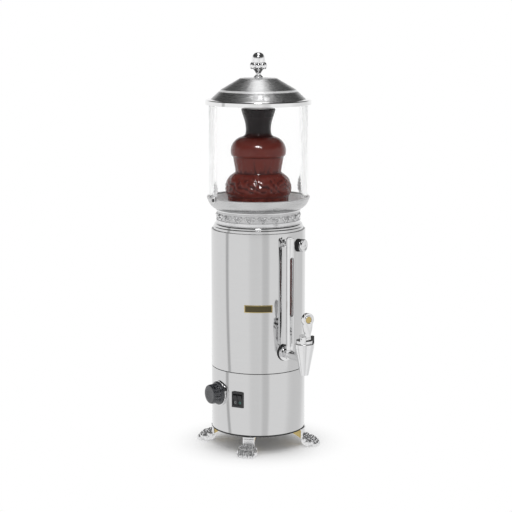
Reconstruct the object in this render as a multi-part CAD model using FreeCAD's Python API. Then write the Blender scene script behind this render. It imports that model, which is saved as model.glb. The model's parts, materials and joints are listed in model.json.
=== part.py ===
import FreeCAD, Part
import math
import os

# Hot drinks dispenser with a chocolate fountain on top.
# Millimetres. +Z is up, the origin is on the body's axis at table level, and the tap faces -Y.

# How finely turned curves are stepped
turned_steps = 4
ball_steps = 7
ring_steps = 8

# Body casings
sheet = 1.2
lip_w = 8.0
foot_h = 36.0
trim_h = 3.0
trim_w = 2.5
lower_h = 125.5
seam_h = 1.5
seam_inset = 0.8
upper_h = 280.0
base_vent_count = 12
base_vent_w = 5.0
base_vent_len = 16.0
base_vent_r = 52.0

# Top flange, cast frieze ring and tray
flange_step = 4.0
flange_h = 12.0
flange_round = 4.0
frieze_step = 6.5
frieze_h = 28.0
frieze_wall = 8.0
frieze_arch_count = 20
frieze_arch_depth = 1.4
frieze_arch_w = 18.0
frieze_arch_h = 15.0
frieze_band_h = 7.5
tray_over = 19.0
tray_h = 25.0
tray_floor_rise = 3.0
tray_drain_count = 8
tray_drain_d = 9.0
tray_drain_pcd = 84.0
rim_lip = 3.0

# Glass and lid
glass_rim = 4.5
glass_wall = 4.0
glass_h = 192.0
run_gap = 0.3
lid_sheet = 1.2
lid_over = 6.8
lid_skirt = 5.0
lid_rim_h = 4.5
lower_cone_top_d = 157.4
lower_cone_rise = 16.0
cone_step = 3.4
cone_step_w = 3.5
upper_cone_rise = 22.5
lid_crown = 0.4
lid_top_d = 74.0
finial_neck_d = 10.4
finial_foot_d = 20.5
finial_h = 51.0
finial_bulb_d = 25.0
finial_petal_count = 8
finial_petal_d = 9.6
finial_petal_ring_d = 27.0
stud_d = 6.0
nut_w = 12.0
nut_h = 5.0
hole_gap = 0.1

# Fountain
tube_d = 40.0
tube_wall = 1.2
tube_foot_z = 232.0
tier_sheet = 1.5
coat = 2.4
lower_bell_d = 127.0
lower_bell_drop = 40.0
lower_bell_lip_z = 518.0
upper_bell_d = 104.0
upper_bell_drop = 36.0
upper_bell_lip_z = 594.0
bell_neck_d = 52.0
crown_waist_d = 46.0
crown_rim_d = 63.0
crown_rim_z = 686.0
crown_flare_h = 28.0
upper_curtain_foot_d = 90.0
lower_curtain_d = 122.0
curtain_gap = 0.5

# Drive, auger and stirrer
shaft_d = 10.0
shaft_fit = 0.05
auger_pitch = 70.0
auger_turns = 6.0
auger_gap = 0.8
auger_blade = 2.0
auger_core_d = 15.0
stirrer_reach = 58.0
stirrer_blade_h = 14.0
stirrer_blade_t = 3.0
stirrer_z = 211.0
motor_d = 64.0
motor_h = 62.0
gearbox_h = 26.0
motor_gap_h = 9.0
motor_plate_d = 120.0
motor_plate_t = 3.0
standoff_d = 10.0
standoff_pcd = 100.0
standoff_count = 3

# Water jacket, chocolate tank and heater
vessel_sheet = 1.2
casing_gap = 7.0
jacket_foot_gap = 12.0
tank_d = 152.0
jacket_gap = 12.0
tank_foot_gap = 14.0
heater_ring_d = 120.0
heater_d = 7.0
heater_tail = 10.0
bush_d = 20.0

# Tap and level gauge
tap_z = 206.0
tap_reach = 70.0
shank_d = 17.0
shank_bore = 11.0
outlet_wall = 2.4
nut_flange_d = 30.0
nut_flange_t = 5.0
gasket_t = 1.6
cone_top_d = 37.0
collar_d = 38.4
spout_d = 17.0
collar_h = 11.0
cone_h = 52.5
cone_wall = 3.0
spout_bore = 11.0
seat_h = 16.5
bonnet_d = 33.0
bonnet_h = 6.0
lug_w = 9.0
lug_t = 7.0
lug_rise = 15.0
pivot_out = 10.0
pivot_rise = 11.5
pin_d = 3.0
lever_w = 20.0
lever_t = 7.0
lever_foot = 20.0
lever_len = 50.0
lever_waist_w = 14.0
lever_head_d = 26.0
badge_d = 13.0
badge_t = 1.0
badge_recess = 0.6
stem_d = 6.0
plug_d = 15.0
plug_h = 8.0
gauge_d = 15.0
gauge_wall = 1.8
gauge_reach = 19.0
gauge_h = 212.0
gauge_foot_z = 224.0
gauge_slot_w = 8.5
gauge_slot_z = 284.0
gauge_slot_h = 118.0
gauge_slit_w = 1.0
gauge_glass_d = 10.0
gauge_glass_wall = 1.2
gauge_fill_h = 180.0
gauge_nut_w = 13.0
gauge_nut_h = 9.0
gauge_arm_d = 9.0

# Filler cap
cap_angle = 27.0
cap_z = 418.0
cap_d = 26.0
cap_t = 7.0
cap_collar_d = 25.0
cap_collar_t = 5.0
neck_d = 21.0
neck_wall = 1.5
cap_plug_len = 10.0
cap_slot_w = 2.0

# Controls
knob_angle = -89.0
knob_z = 117.0
bezel_d = 51.0
bezel_t = 3.0
skirt_d = 48.0
skirt_t = 4.0
knob_d = 40.0
knob_h = 16.5
knob_flute_count = 12
knob_flute_d = 6.0
knob_gap = 0.4
knob_shaft_d = 6.0
thermostat_w = 34.0
thermostat_depth = 26.0
switch_angle = -58.6
switch_z = 111.0
switch_w = 25.4
switch_h = 31.7
switch_flange_t = 2.0
switch_box_depth = 22.0
switch_frame = 2.0
rocker_gap = 0.4
rocker_reach = 12.4
rocker_tilt = 11.0
rocker_depth = 5.0
rocker_pin_d = 3.0
label_angle = -33.0
label_z = 297.5
label_w = 56.0
label_h = 15.0
label_t = 1.0
label_gap = 0.05
gland_z = 62.0
gland_d = 22.0
gland_bore = 8.0

# Feet
foot_angles = (45.0, 135.0, 225.0, 315.0)
foot_names = ("foot_front_right", "foot_rear_right", "foot_rear_left", "foot_front_left")
foot_over = 35.0
paw_w = 39.0
paw_h = 22.0
toe_d = 12.5
toe_count = 4
paw_set = 9.0
pad_r = 14.5
leg_w = 24.0
leg_t = 5.0
leg_proud = 1.0
leg_flange_t = 4.0
leg_flange_over = 8.0
bolt_d = 5.0
bolt_head_d = 9.0
bolt_head_h = 3.0
bolt_inset = 17.0
bracket_w = 18.0
bracket_t = 3.0
bracket_len = 30.0
bracket_drop = 18.0

# Glass clips
clip_angles = (-90.0, 90.0)
clip_w = 14.0
clip_t = 2.6
clip_rise = 36.0
clip_drop = 8.0
clip_screw_d = 4.0
clip_screw_drop = 2.0

# Places worked out from the sizes above
tank_r = tank_d / 2
jacket_r = tank_r + jacket_gap
body_r = jacket_r + casing_gap
flange_r = body_r - flange_step
frieze_r = flange_r - frieze_step
tray_r = frieze_r + tray_over
glass_r = tray_r - glass_rim
lid_r = glass_r + lid_over
base_z = foot_h
casing_z = base_z + trim_h
seam_z = casing_z + lower_h
upper_z = seam_z + seam_h
upper_top_z = upper_z + upper_h
flange_top_z = upper_top_z + flange_h
frieze_top_z = flange_top_z + frieze_h
tray_top_z = frieze_top_z + tray_h
ledge_z = tray_top_z - rim_lip
glass_top_z = ledge_z + glass_h
jacket_z = upper_z + jacket_foot_gap
tank_z = jacket_z + tank_foot_gap
rim_z = upper_top_z - vessel_sheet
tube_r = tube_d / 2
shaft_r = shaft_d / 2
tap_y = -(body_r + tap_reach)
gauge_y = -(body_r + gauge_reach)
spout_z = tap_z - 30.5
collar_z = spout_z + cone_h
collar_top_z = collar_z + collar_h
pivot_y = tap_y - pivot_out
pivot_z = collar_top_z + pivot_rise
seat_z = spout_z + seat_h
leg_front_r = body_r + leg_proud
bolt_r = body_r - bolt_inset
foot_reach = body_r + foot_over
X, Y, Z = FreeCAD.Vector(1, 0, 0), FreeCAD.Vector(0, 1, 0), FreeCAD.Vector(0, 0, 1)
ORIGIN = FreeCAD.Vector(0, 0, 0)


# Shape helpers

def edges_of(points, steps=0):
    """Edges of a closed outline; a point (a, b, bulge) bows the edge that leads to it.

    With steps, a bowed edge is that many chords of its arc, so a turned surface stays light.
    """
    found = []
    for here, there in zip(points, points[1:] + points[:1]):
        a = FreeCAD.Vector(here[0], 0, here[1])
        b = FreeCAD.Vector(there[0], 0, there[1])
        if len(there) == 3:
            chord = b - a
            side = FreeCAD.Vector(chord.z, 0, -chord.x)
            side.normalize()
            middle = (a + b) * 0.5 + side * there[2]
            arc = Part.Arc(a, middle, b).toShape()
            on_arc = arc.discretize(steps + 1) if steps else []
            chords = [Part.LineSegment(p, q).toShape() for p, q in zip(on_arc, on_arc[1:])]
            found.extend(chords or [arc])
        else:
            found.append(Part.LineSegment(a, b).toShape())
    return found


def face_xz(points, steps=0):
    return Part.Face(Part.Wire(edges_of(points, steps)))


def turned(points):
    """Solid of revolution about Z from a closed outline of (radius, height) points."""
    return face_xz(points, turned_steps).revolve(ORIGIN, Z, 360)


def ball(r, x, y, z):
    """Ball turned from an even-sided half outline."""
    angles = [math.pi * (i / ball_steps - 0.5) for i in range(ball_steps + 1)]
    shape = turned([(r * math.cos(a), r * math.sin(a)) for a in angles[1:-1]] + [(0, r), (0, -r)])
    shape.translate(FreeCAD.Vector(x, y, z))
    return shape


def tube(outer_r, inner_r, foot, height):
    return turned([(inner_r, foot), (outer_r, foot), (outer_r, foot + height), (inner_r, foot + height)])


def rod(r, x, y, z, axis, length):
    return Part.makeCylinder(r, length, FreeCAD.Vector(x, y, z), axis)


def block(x, y, z, wide, deep, high):
    """Box centred on x and y, standing on z."""
    return Part.makeBox(wide, deep, high, FreeCAD.Vector(x - wide / 2, y - deep / 2, z))


def hexagon(across, x, y, z, height):
    r = across / math.sqrt(3)
    corners = [FreeCAD.Vector(x + r * math.cos(a), y + r * math.sin(a), z)
               for a in [math.radians(60 * i) for i in range(7)]]
    return Part.Face(Part.makePolygon(corners)).extrude(Z * height)


def about(shape, angle):
    """The shape turned from the front to the given azimuth about the body's axis."""
    return shape.rotated(ORIGIN, Z, angle)


def ring_of(shape, count, start=0.0):
    return [about(shape, start + 360.0 * i / count) for i in range(count)]


def casing_core():
    return rod(body_r, 0, 0, 0, Z, upper_top_z + flange_h)


def saddle(r, z, proud, depth=12.0):
    """Round boss at the front that fits the casing's curve and stands proud of it."""
    return rod(r, 0, -(body_r + proud), z, Y, proud + depth).cut(casing_core())


def front_hole(r, z):
    return rod(r, 0, -(body_r + 20), z, Y, 40)


# Body

def base_plate():
    r = body_r - trim_w
    plate = rod(r, 0, 0, base_z, Z, trim_h)
    slot = block(0, -base_vent_r, base_z - 1, base_vent_w, base_vent_len, trim_h + 2)
    bolt_hole = rod(bolt_d / 2, 0, -bolt_r, base_z - 1, Z, trim_h + 2)
    cuts = ring_of(slot, base_vent_count, 15.0) + [about(bolt_hole, a) for a in foot_angles]
    return plate.cut(Part.makeCompound(cuts))


def base_trim():
    return tube(body_r, body_r - trim_w, base_z, trim_h)


def switch_window():
    inner_w = switch_w - 2 * switch_frame
    inner_h = switch_h - 2 * switch_frame
    return block(0, -body_r, switch_z - inner_h / 2, inner_w, 30, inner_h)


def lower_casing():
    r, top = body_r, seam_z
    inner = r - sheet
    shell = turned([(r - lip_w, casing_z), (r, casing_z), (r, top), (r - lip_w, top),
                    (r - lip_w, top - sheet), (inner, top - sheet),
                    (inner, casing_z + sheet), (r - lip_w, casing_z + sheet)])
    cuts = [about(switch_window(), switch_angle),
            about(front_hole(knob_shaft_d, knob_z), knob_angle),
            about(front_hole(gland_d / 2 - 3, gland_z), 180)]
    return shell.cut(Part.makeCompound(cuts))


def seam_gasket():
    return tube(body_r - seam_inset, body_r - lip_w, seam_z, seam_h)


def upper_casing():
    r = body_r
    inner = r - sheet
    shell = turned([(r - lip_w, upper_z), (r, upper_z), (r, upper_top_z), (inner, upper_top_z),
                    (inner, upper_z + sheet), (r - lip_w, upper_z + sheet)])
    cuts = [front_hole(shank_d / 2, tap_z),
            front_hole(gauge_arm_d / 2, gauge_foot_z + gauge_h - gauge_arm_d),
            about(front_hole(neck_d / 2, cap_z), cap_angle)]
    return shell.cut(Part.makeCompound(cuts))


def top_flange():
    r = flange_r
    inner = tank_r - vessel_sheet
    seat_r = jacket_r + 2
    low, high = upper_top_z, flange_top_z
    step = flange_h * 0.45
    return turned([(inner, low + vessel_sheet), (seat_r, low + vessel_sheet), (seat_r, low),
                   (r, low), (r, low + step), (r - flange_round / 2, low + step + 2, -0.6),
                   (r - flange_round, high, 0.8), (inner, high)])


def arch_recess():
    """One round-headed recess of the frieze, cut from the front."""
    half = frieze_arch_w / 2
    foot = flange_top_z + frieze_band_h
    spring = foot + frieze_arch_h - half
    outline = [(-half, foot), (half, foot), (half, spring), (-half, spring, half)]
    face = face_xz(outline)
    face.translate(Y * -(frieze_r + 1))
    return face.extrude(Y * (1 + frieze_arch_depth))


def frieze_ring():
    r = frieze_r
    inner = r - frieze_wall
    foot, top = flange_top_z, frieze_top_z
    band = foot + frieze_band_h
    ring = turned([(inner, foot), (r, foot), (r, band - 1.2), (r - 0.8, band - 1.2), (r - 0.8, band - 0.4),
                   (r, band - 0.4), (r, top - 3), (r + 1.0, top - 2), (r + 1.0, top), (inner, top)])
    return ring.cut(Part.makeCompound(ring_of(arch_recess(), frieze_arch_count)))


def tray_bowl():
    rim_r, inner_rim, seat = tray_r, glass_r + run_gap, frieze_r
    foot = frieze_top_z
    floor = foot + tray_floor_rise
    glass_in = glass_r - glass_wall
    bowl = turned([(tube_r, foot + 1), (tube_r + 4, foot + 1), (seat - 12, foot), (seat, foot),
                   (rim_r - 1.5, ledge_z - 2.5, 3.2), (rim_r, ledge_z), (rim_r, tray_top_z),
                   (inner_rim, tray_top_z), (inner_rim, ledge_z), (glass_in - 2.5, ledge_z),
                   (glass_in - 16, floor + 4, -2.0), (seat - 22, floor), (tube_r + 5, floor - 0.6),
                   (tube_r + 5, floor + 4), (tube_r, floor + 4)])
    hole = rod(tray_drain_d / 2, 0, -tray_drain_pcd / 2, foot - 2, Z, tray_h)
    return bowl.cut(Part.makeCompound(ring_of(hole, tray_drain_count)))


# Vessels, heater and drive

def water_jacket():
    r, s = jacket_r, vessel_sheet
    rim_r = body_r - sheet
    shell = turned([(bush_d / 2, jacket_z), (r, jacket_z), (r, rim_z), (rim_r, rim_z),
                    (rim_r, upper_top_z), (r - s, upper_top_z), (r - s, jacket_z + s),
                    (bush_d / 2, jacket_z + s)])
    cuts = [front_hole(shank_d / 2 + outlet_wall, tap_z),
            about(front_hole(neck_d / 2, cap_z), cap_angle),
            rod(heater_d / 2, 0, heater_ring_d / 2, jacket_z - 1, Z, vessel_sheet + 2)]
    return shell.cut(Part.makeCompound(cuts))


def chocolate_tank():
    r, s = tank_r, vessel_sheet
    top = upper_top_z + s
    shell = turned([(bush_d / 2, tank_z), (r, tank_z), (r, upper_top_z), (jacket_r + 2, upper_top_z),
                    (jacket_r + 2, top), (r - s, top), (r - s, tank_z + s), (bush_d / 2, tank_z + s)])
    start = -(body_r - sheet)
    outlet = rod(shank_d / 2 + outlet_wall, 0, start, tap_z, Y, body_r - sheet - r + 2)
    bore = rod(shank_d / 2, 0, start - 1, tap_z, Y, body_r - r + 6)
    core = rod(r - s, 0, 0, tank_z + s, Z, upper_h)
    inside = rod(body_r - sheet, 0, 0, tank_z, Z, upper_h)
    return shell.fuse(outlet.common(inside).cut(core)).cut(bore)


def heating_element():
    z = jacket_z + vessel_sheet + heater_d / 2
    turns = [2 * math.pi * (i + 0.5) / ring_steps for i in range(ring_steps)]
    loop = turned([(heater_ring_d / 2 + heater_d / 2 * math.cos(t), z + heater_d / 2 * math.sin(t))
                   for t in turns])
    drop = z - jacket_z + heater_tail
    stub = rod(heater_d / 2, 0, heater_ring_d / 2, z - drop, Z, drop)
    return loop.fuse(stub)


def shaft_bush():
    inner = shaft_r + shaft_fit
    r = bush_d / 2
    top = tank_z + vessel_sheet
    return turned([(inner, jacket_z - 4), (r + 4, jacket_z - 4), (r + 4, jacket_z), (r, jacket_z),
                   (r, top), (inner, top)])


def motor_levels():
    """Heights of the motor's foot, gearbox foot and mounting plate."""
    foot = casing_z + motor_gap_h
    return foot, foot + motor_h, foot + motor_h + gearbox_h


def drive_motor():
    foot, gear, plate = motor_levels()
    can = turned([(0, foot), (motor_d / 2 - 3, foot), (motor_d / 2, foot + 3, 0.8),
                  (motor_d / 2, gear), (0, gear)])
    box = rod(motor_d / 2 - 4, 0, 0, gear, Z, plate - gear)
    boss = rod(shaft_d, 0, 0, plate, Z, motor_plate_t)
    socket = rod(shaft_r + shaft_fit, 0, 0, plate - 12, Z, 20)
    return can.fuse(box).fuse(boss).cut(socket)


def motor_bracket():
    plate_z = motor_levels()[2]
    plate = tube(motor_plate_d / 2, shaft_d, plate_z, motor_plate_t)
    leg = rod(standoff_d / 2, 0, -standoff_pcd / 2, casing_z, Z, plate_z - casing_z)
    return plate.multiFuse(ring_of(leg, standoff_count, 60.0))


def shaft_ends():
    """Foot and top of the drive shaft."""
    return motor_levels()[2] - 10, crown_rim_z - 14


def drive_shaft():
    low, high = shaft_ends()
    return rod(shaft_r, 0, 0, low, Z, high - low)


def stirrer():
    hub = tube(shaft_r + 5, shaft_r, stirrer_z - stirrer_blade_h / 2, stirrer_blade_h)
    blade = block(stirrer_reach / 2 + shaft_r, 0, stirrer_z - stirrer_blade_h / 2,
                  stirrer_reach, stirrer_blade_t, stirrer_blade_h)
    blade.rotate(FreeCAD.Vector(0, 0, stirrer_z), X, 25)
    core = rod(shaft_r, 0, 0, 0, Z, upper_top_z)
    return hub.multiFuse([blade, about(blade, 180)]).cut(core)


def auger():
    """Helical blade on a core that slides over the drive shaft inside the fountain tube."""
    high = shaft_ends()[1] - 4
    length = auger_pitch * auger_turns
    low = high - length
    core_r = auger_core_d / 2
    blade_r = tube_r - tube_wall - auger_gap
    inner = core_r - 0.6
    spine = Part.makeHelix(auger_pitch, length - auger_blade, blade_r)
    spine.translate(Z * low)
    section = Part.makePolygon([FreeCAD.Vector(inner, 0, low), FreeCAD.Vector(blade_r, 0, low),
                                FreeCAD.Vector(blade_r, 0, low + auger_blade),
                                FreeCAD.Vector(inner, 0, low + auger_blade),
                                FreeCAD.Vector(inner, 0, low)])
    blade = Part.Wire(spine.Edges).makePipeShell([section], True, True)
    return tube(core_r, shaft_r, low, length).fuse(blade)


# Fountain

def fountain_tube():
    """Riser tube with intake windows at its foot, stopping under the crown's rim."""
    r = tube_r
    top = crown_rim_z - 10
    riser = tube(r, r - tube_wall, tube_foot_z, top - tube_foot_z)
    window = block(0, -r, tube_foot_z - 1, 12, 20, 24)
    return riser.cut(Part.makeCompound(ring_of(window, 3)))


def bell(lip_d, lip_z, drop):
    """Spun bell that rises from a rolled lip to a hub round the riser tube."""
    lip_r, neck_r = lip_d / 2, bell_neck_d / 2
    top = lip_z + drop
    inner_lip = lip_r - tier_sheet
    return turned([(tube_r, top), (neck_r, top), (lip_r, lip_z + 4, -0.26 * drop), (lip_r, lip_z),
                   (inner_lip, lip_z), (inner_lip, lip_z + 4),
                   (neck_r - 1, top - tier_sheet, 0.26 * drop),
                   (tube_r + 2, top - tier_sheet), (tube_r + 2, top - 12), (tube_r, top - 12)])


def crown_cup():
    """Neck and flared cup that crown the riser tube."""
    foot = upper_bell_lip_z + upper_bell_drop
    waist, rim = crown_waist_d / 2, crown_rim_d / 2
    tube_top = crown_rim_z - 10
    flare = crown_rim_z - crown_flare_h
    return turned([(tube_r, foot), (bell_neck_d / 2, foot), (waist, foot + 10, -0.8), (waist, flare),
                   (rim, crown_rim_z, 1.6), (rim - tier_sheet, crown_rim_z),
                   (tube_r + 1.5, tube_top, -1.2), (tube_r, tube_top)])


def chocolate_flow():
    """Chocolate that wells up in the crown and falls over both bells into the tray."""
    c = coat
    crown_foot = upper_bell_lip_z + upper_bell_drop
    waist, rim, neck = crown_waist_d / 2, crown_rim_d / 2, bell_neck_d / 2
    flare = crown_rim_z - crown_flare_h
    tube_top = crown_rim_z - 10
    up_r, low_r = upper_bell_d / 2, lower_bell_d / 2
    up_lip, low_lip = upper_bell_lip_z, lower_bell_lip_z
    low_top = low_lip + lower_bell_drop
    foot_r = upper_curtain_foot_d / 2
    fall_r = lower_curtain_d / 2
    curtain_foot_z = frieze_top_z + tray_floor_rise + curtain_gap
    outer = [(0, crown_rim_z + 0.6), (rim - 1, crown_rim_z + 2), (rim + c, crown_rim_z - 1, -0.9),
             (waist + c, flare, -1.6), (waist + c, crown_foot + 10),
             (neck + c, crown_foot + 1, 0.8), (up_r + c, up_lip + 3, -0.26 * upper_bell_drop),
             (up_r, up_lip - 3, -1.6), (foot_r, low_top + 1.6), (neck + c + 20, low_top, 0.3),
             (low_r + c, low_lip + 5, -0.125 * lower_bell_drop), (low_r - 1, low_lip - 4, -2.2),
             (fall_r, curtain_foot_z)]
    inner = [(fall_r - c, curtain_foot_z), (low_r - c, low_lip - 3), (low_r - tier_sheet, low_lip),
             (low_r, low_lip), (low_r, low_lip + 4), (neck, low_top, 0.26 * lower_bell_drop),
             (foot_r - c - 4, low_top), (up_r - c, up_lip - 4), (up_r - tier_sheet, up_lip),
             (up_r, up_lip), (up_r, up_lip + 4), (neck, crown_foot, 0.26 * upper_bell_drop),
             (waist, crown_foot + 10, -0.8), (waist, flare), (rim, crown_rim_z, 1.6),
             (rim - tier_sheet, crown_rim_z), (tube_r + 1.5, tube_top, -1.2), (tube_r, tube_top),
             (tube_r - tube_wall, tube_top), (tube_r - tube_wall, tube_top + 0.5), (0, tube_top + 0.5)]
    return turned(outer + inner)


# Glass, clips and lid

def glass_cylinder():
    return tube(glass_r, glass_r - glass_wall, ledge_z, glass_h)


def lid_shell():
    s = lid_sheet
    r = lid_r
    skirt_in = glass_r + run_gap
    low = glass_top_z
    cone_r = glass_r - 4
    mid_r = lower_cone_top_d / 2
    rim_top = low + lid_rim_h
    mid_z = rim_top + lower_cone_rise
    step_r, step_z = mid_r - cone_step, mid_z + cone_step_w
    top_r, top_z = lid_top_d / 2, step_z + upper_cone_rise
    hole = stud_d / 2 + hole_gap
    crown_r = finial_foot_d / 2
    return turned([(hole, top_z + lid_crown), (crown_r, top_z + lid_crown), (top_r, top_z),
                   (step_r, step_z), (mid_r, mid_z, 0.5), (cone_r, rim_top + 0.6), (r - 1.5, rim_top),
                   (r, low + 0.8, -0.6), (r, low - lid_skirt), (skirt_in, low - lid_skirt),
                   (skirt_in, low), (cone_r - 1, low), (cone_r - s, rim_top - 0.4),
                   (mid_r - s, mid_z - s), (step_r - s, step_z - s), (top_r - s, top_z - s),
                   (crown_r, top_z + lid_crown - s), (hole, top_z + lid_crown - s)])


def lid_top_z():
    return glass_top_z + lid_rim_h + lower_cone_rise + cone_step_w + upper_cone_rise + lid_crown


def lid_finial():
    """Turned knob with a ring of petals round its bulb and a threaded stud below."""
    foot = lid_top_z()
    neck, bulb = finial_neck_d / 2, finial_bulb_d / 2
    top = foot + finial_h
    stud_foot = foot - 12
    knob = turned([(0, stud_foot), (stud_d / 2, stud_foot), (stud_d / 2, foot), (finial_foot_d / 2, foot),
                   (finial_foot_d / 2 - 0.6, foot + 1.6), (neck, foot + 11, -1.6),
                   (bulb - 2, foot + 22, -0.8), (bulb, foot + 27, -0.4), (bulb, top - bulb),
                   (0, top, bulb * (1 - math.sqrt(0.5)))])
    r = finial_petal_d / 2
    petal = ball(r, 0, -finial_petal_ring_d / 2, foot + 27.5)
    return knob.multiFuse(ring_of(petal, finial_petal_count))


def finial_nut():
    foot = lid_top_z() - lid_sheet - nut_h
    return hexagon(nut_w, 0, 0, foot, nut_h).cut(rod(stud_d / 2, 0, 0, foot - 1, Z, nut_h + 2))


def clip_envelope():
    """The glass and the tray's outside, which each clip is shaped round."""
    clear = glass_r + run_gap
    rim_r = tray_r
    return turned([(0, ledge_z - 30), (rim_r, ledge_z - 30), (rim_r, tray_top_z), (clear, tray_top_z),
                   (clear, glass_top_z), (0, glass_top_z)])


def glass_clip():
    """Pierced leaf that stands against the glass on a lug screwed to the tray's rim."""
    half = clip_w / 2
    foot, shoulder = tray_top_z - clip_drop, tray_top_z + 6
    tip = tray_top_z + clip_rise
    outline = [(-half * 0.55, foot), (half * 0.55, foot), (half * 0.55, shoulder),
               (half * 0.9, (shoulder + tip) / 2, -1.8), (0, tip, 1.6),
               (-half * 0.9, (shoulder + tip) / 2, 1.6), (-half * 0.55, shoulder, -1.8)]
    face = face_xz(outline)
    face.translate(Y * -(tray_r + clip_t))
    leaf = face.extrude(Y * (clip_t + 6)).cut(clip_envelope())
    eye = rod(1.7, 0, -(tray_r + 10), (shoulder + tip) / 2, Y, 30)
    hole = rod(clip_screw_d / 2, 0, -(tray_r + 10), tray_top_z - clip_screw_drop, Y, 10)
    return leaf.cut(eye).cut(hole)


def clip_screw():
    z = tray_top_z - clip_screw_drop
    out = tray_r
    shank = rod(clip_screw_d / 2, 0, -(out + clip_t), z, Y, clip_t)
    head = rod(clip_screw_d / 2 + 1.4, 0, -(out + clip_t + 1.6), z, Y, 1.6)
    return shank.fuse(head)


# Tap

def cone_radius(z):
    """Outside radius of the tap's cone at a height."""
    return spout_d / 2 + (cone_top_d - spout_d) / 2 * (z - spout_z) / cone_h


def tap_body():
    """Shank, level tee and conical spout of the tap, bored through."""
    z = tap_z
    inner_end = -(tank_r + 1)
    shank = rod(shank_d / 2, 0, tap_y, z, Y, inner_end - tap_y)
    tee = rod(gauge_nut_w / 2 + 1.5, 0, gauge_y, z - 8, Z, gauge_foot_z - gauge_nut_h - z + 8)
    swell = ball(gauge_foot_z - gauge_nut_h - z, 0, gauge_y, z)
    chamber_r = cone_radius(collar_z) - cone_wall
    seat_r = cone_radius(seat_z) - cone_wall
    cone = turned([(0, spout_z), (spout_d / 2, spout_z), (cone_top_d / 2, collar_z),
                   (collar_d / 2, collar_z + 1.5, -0.3), (collar_d / 2, collar_top_z - 1),
                   (collar_d / 2 - 1, collar_top_z), (0, collar_top_z)])
    void = turned([(0, spout_z - 1), (spout_bore / 2, spout_z - 1), (spout_bore / 2, seat_z),
                   (seat_r, seat_z + 2), (chamber_r, collar_z), (chamber_r, collar_top_z + 1),
                   (0, collar_top_z + 1)])
    cone.translate(Y * tap_y)
    void.translate(Y * tap_y)
    bore = rod(shank_bore / 2, 0, tap_y, z, Y, inner_end - tap_y + 1)
    up = rod(gauge_glass_d / 2, 0, gauge_y, z, Z, gauge_foot_z - z)
    return shank.fuse(tee).fuse(swell).fuse(cone).cut(void).cut(bore).cut(up)


def tap_gasket():
    hole = rod(shank_d / 2, 0, -(body_r + 20), tap_z, Y, 40)
    return saddle(nut_flange_d / 2 + 1, tap_z, gasket_t).cut(hole)


def tap_nut():
    y = -(body_r + gasket_t + nut_flange_t)
    plate = rod(nut_flange_d / 2, 0, y, tap_z, Y, nut_flange_t)
    return plate.cut(rod(shank_d / 2, 0, y - 1, tap_z, Y, nut_flange_t + 2))


def tap_bonnet():
    """Black cap on the tap's collar, with two lugs at its outer edge for the lever's pin."""
    r = bonnet_d / 2
    cap = rod(r, 0, tap_y, collar_top_z, Z, bonnet_h)
    skirt = rod(cone_radius(collar_z) - cone_wall, 0, tap_y, collar_top_z - 6, Z, 6)
    height = lug_rise
    gap_x = lever_w / 2 - 4.5
    lug = block(0, pivot_y, collar_top_z, lug_w, lug_t, height)
    lugs = [lug.translated(X * side * (gap_x + run_gap + lug_w / 2)) for side in (-1, 1)]
    stem = rod(stem_d / 2 + shaft_fit, 0, tap_y, collar_top_z - 10, Z, 30)
    pin_hole = rod(pin_d / 2, -20, pivot_y, pivot_z, X, 40)
    trim = rod(collar_d / 2, 0, tap_y, collar_top_z - 10, Z, 50)
    return cap.fuse(skirt).multiFuse(lugs).common(trim).cut(stem).cut(pin_hole)


def tap_lever():
    """Lever with a round head, a waist and a forked foot over the valve stem."""
    head_r, waist, foot_w = lever_head_d / 2, lever_waist_w / 2, lever_w / 2 - 4.5
    head_z = pivot_z + lever_len - head_r
    spread = 0.75 * head_r
    face = face_xz([(-foot_w, pivot_z - 3), (foot_w, pivot_z - 3), (foot_w, pivot_z + 5),
                    (waist, pivot_z + 12, -0.5), (spread, head_z - 0.66 * head_r, 0.6),
                    (-spread, head_z - 0.66 * head_r, 1.66 * head_r),
                    (-waist, pivot_z + 12, 0.6), (-foot_w, pivot_z + 5, -0.5)])
    face.translate(Y * (pivot_y - lever_t / 2))
    blade = face.extrude(Y * lever_t)
    barrel = rod(lever_t / 2 + 0.5, -foot_w, pivot_y, pivot_z, X, 2 * foot_w)
    underside = collar_top_z + bonnet_h + 0.5 + 1.0
    foot = block(0, pivot_y + lever_foot / 2, underside, 2 * foot_w, lever_foot, pivot_z + 4 - underside)
    foot = foot.cut(block(0, pivot_y - lever_t, underside - 1, 40, lever_t, 30))
    recess = rod(badge_d / 2, 0, pivot_y - lever_t / 2 - 1, head_z, Y, 1 + badge_recess)
    pin_hole = rod(pin_d / 2 + shaft_fit, -20, pivot_y, pivot_z, X, 40)
    return blade.fuse(barrel).fuse(foot).cut(recess).cut(pin_hole)


def lever_badge():
    head_z = pivot_z + lever_len - lever_head_d / 2
    y = pivot_y - lever_t / 2 + badge_recess
    return rod(badge_d / 2, 0, y - badge_t, head_z, Y, badge_t)


def lever_pin():
    half = lever_w / 2 - 4.5 + run_gap + lug_w / 2
    return rod(pin_d / 2, -half, pivot_y, pivot_z, X, 2 * half)


def tap_plunger():
    """Valve stem with a soft plug that closes the spout."""
    top = collar_top_z + bonnet_h + 0.9
    r = plug_d / 2
    seat = seat_z + run_gap + 2
    plug = turned([(0, seat - 1.8), (spout_bore / 2 - 0.8, seat - 1.8), (spout_bore / 2 + 0.4, seat),
                   (r - 1, seat + 2), (r - 1, seat + plug_h - 2), (stem_d / 2, seat + plug_h),
                   (stem_d / 2, top - 1), (stem_d / 4, top), (0, top)])
    plug.translate(Y * tap_y)
    return plug


# Level gauge

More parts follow.
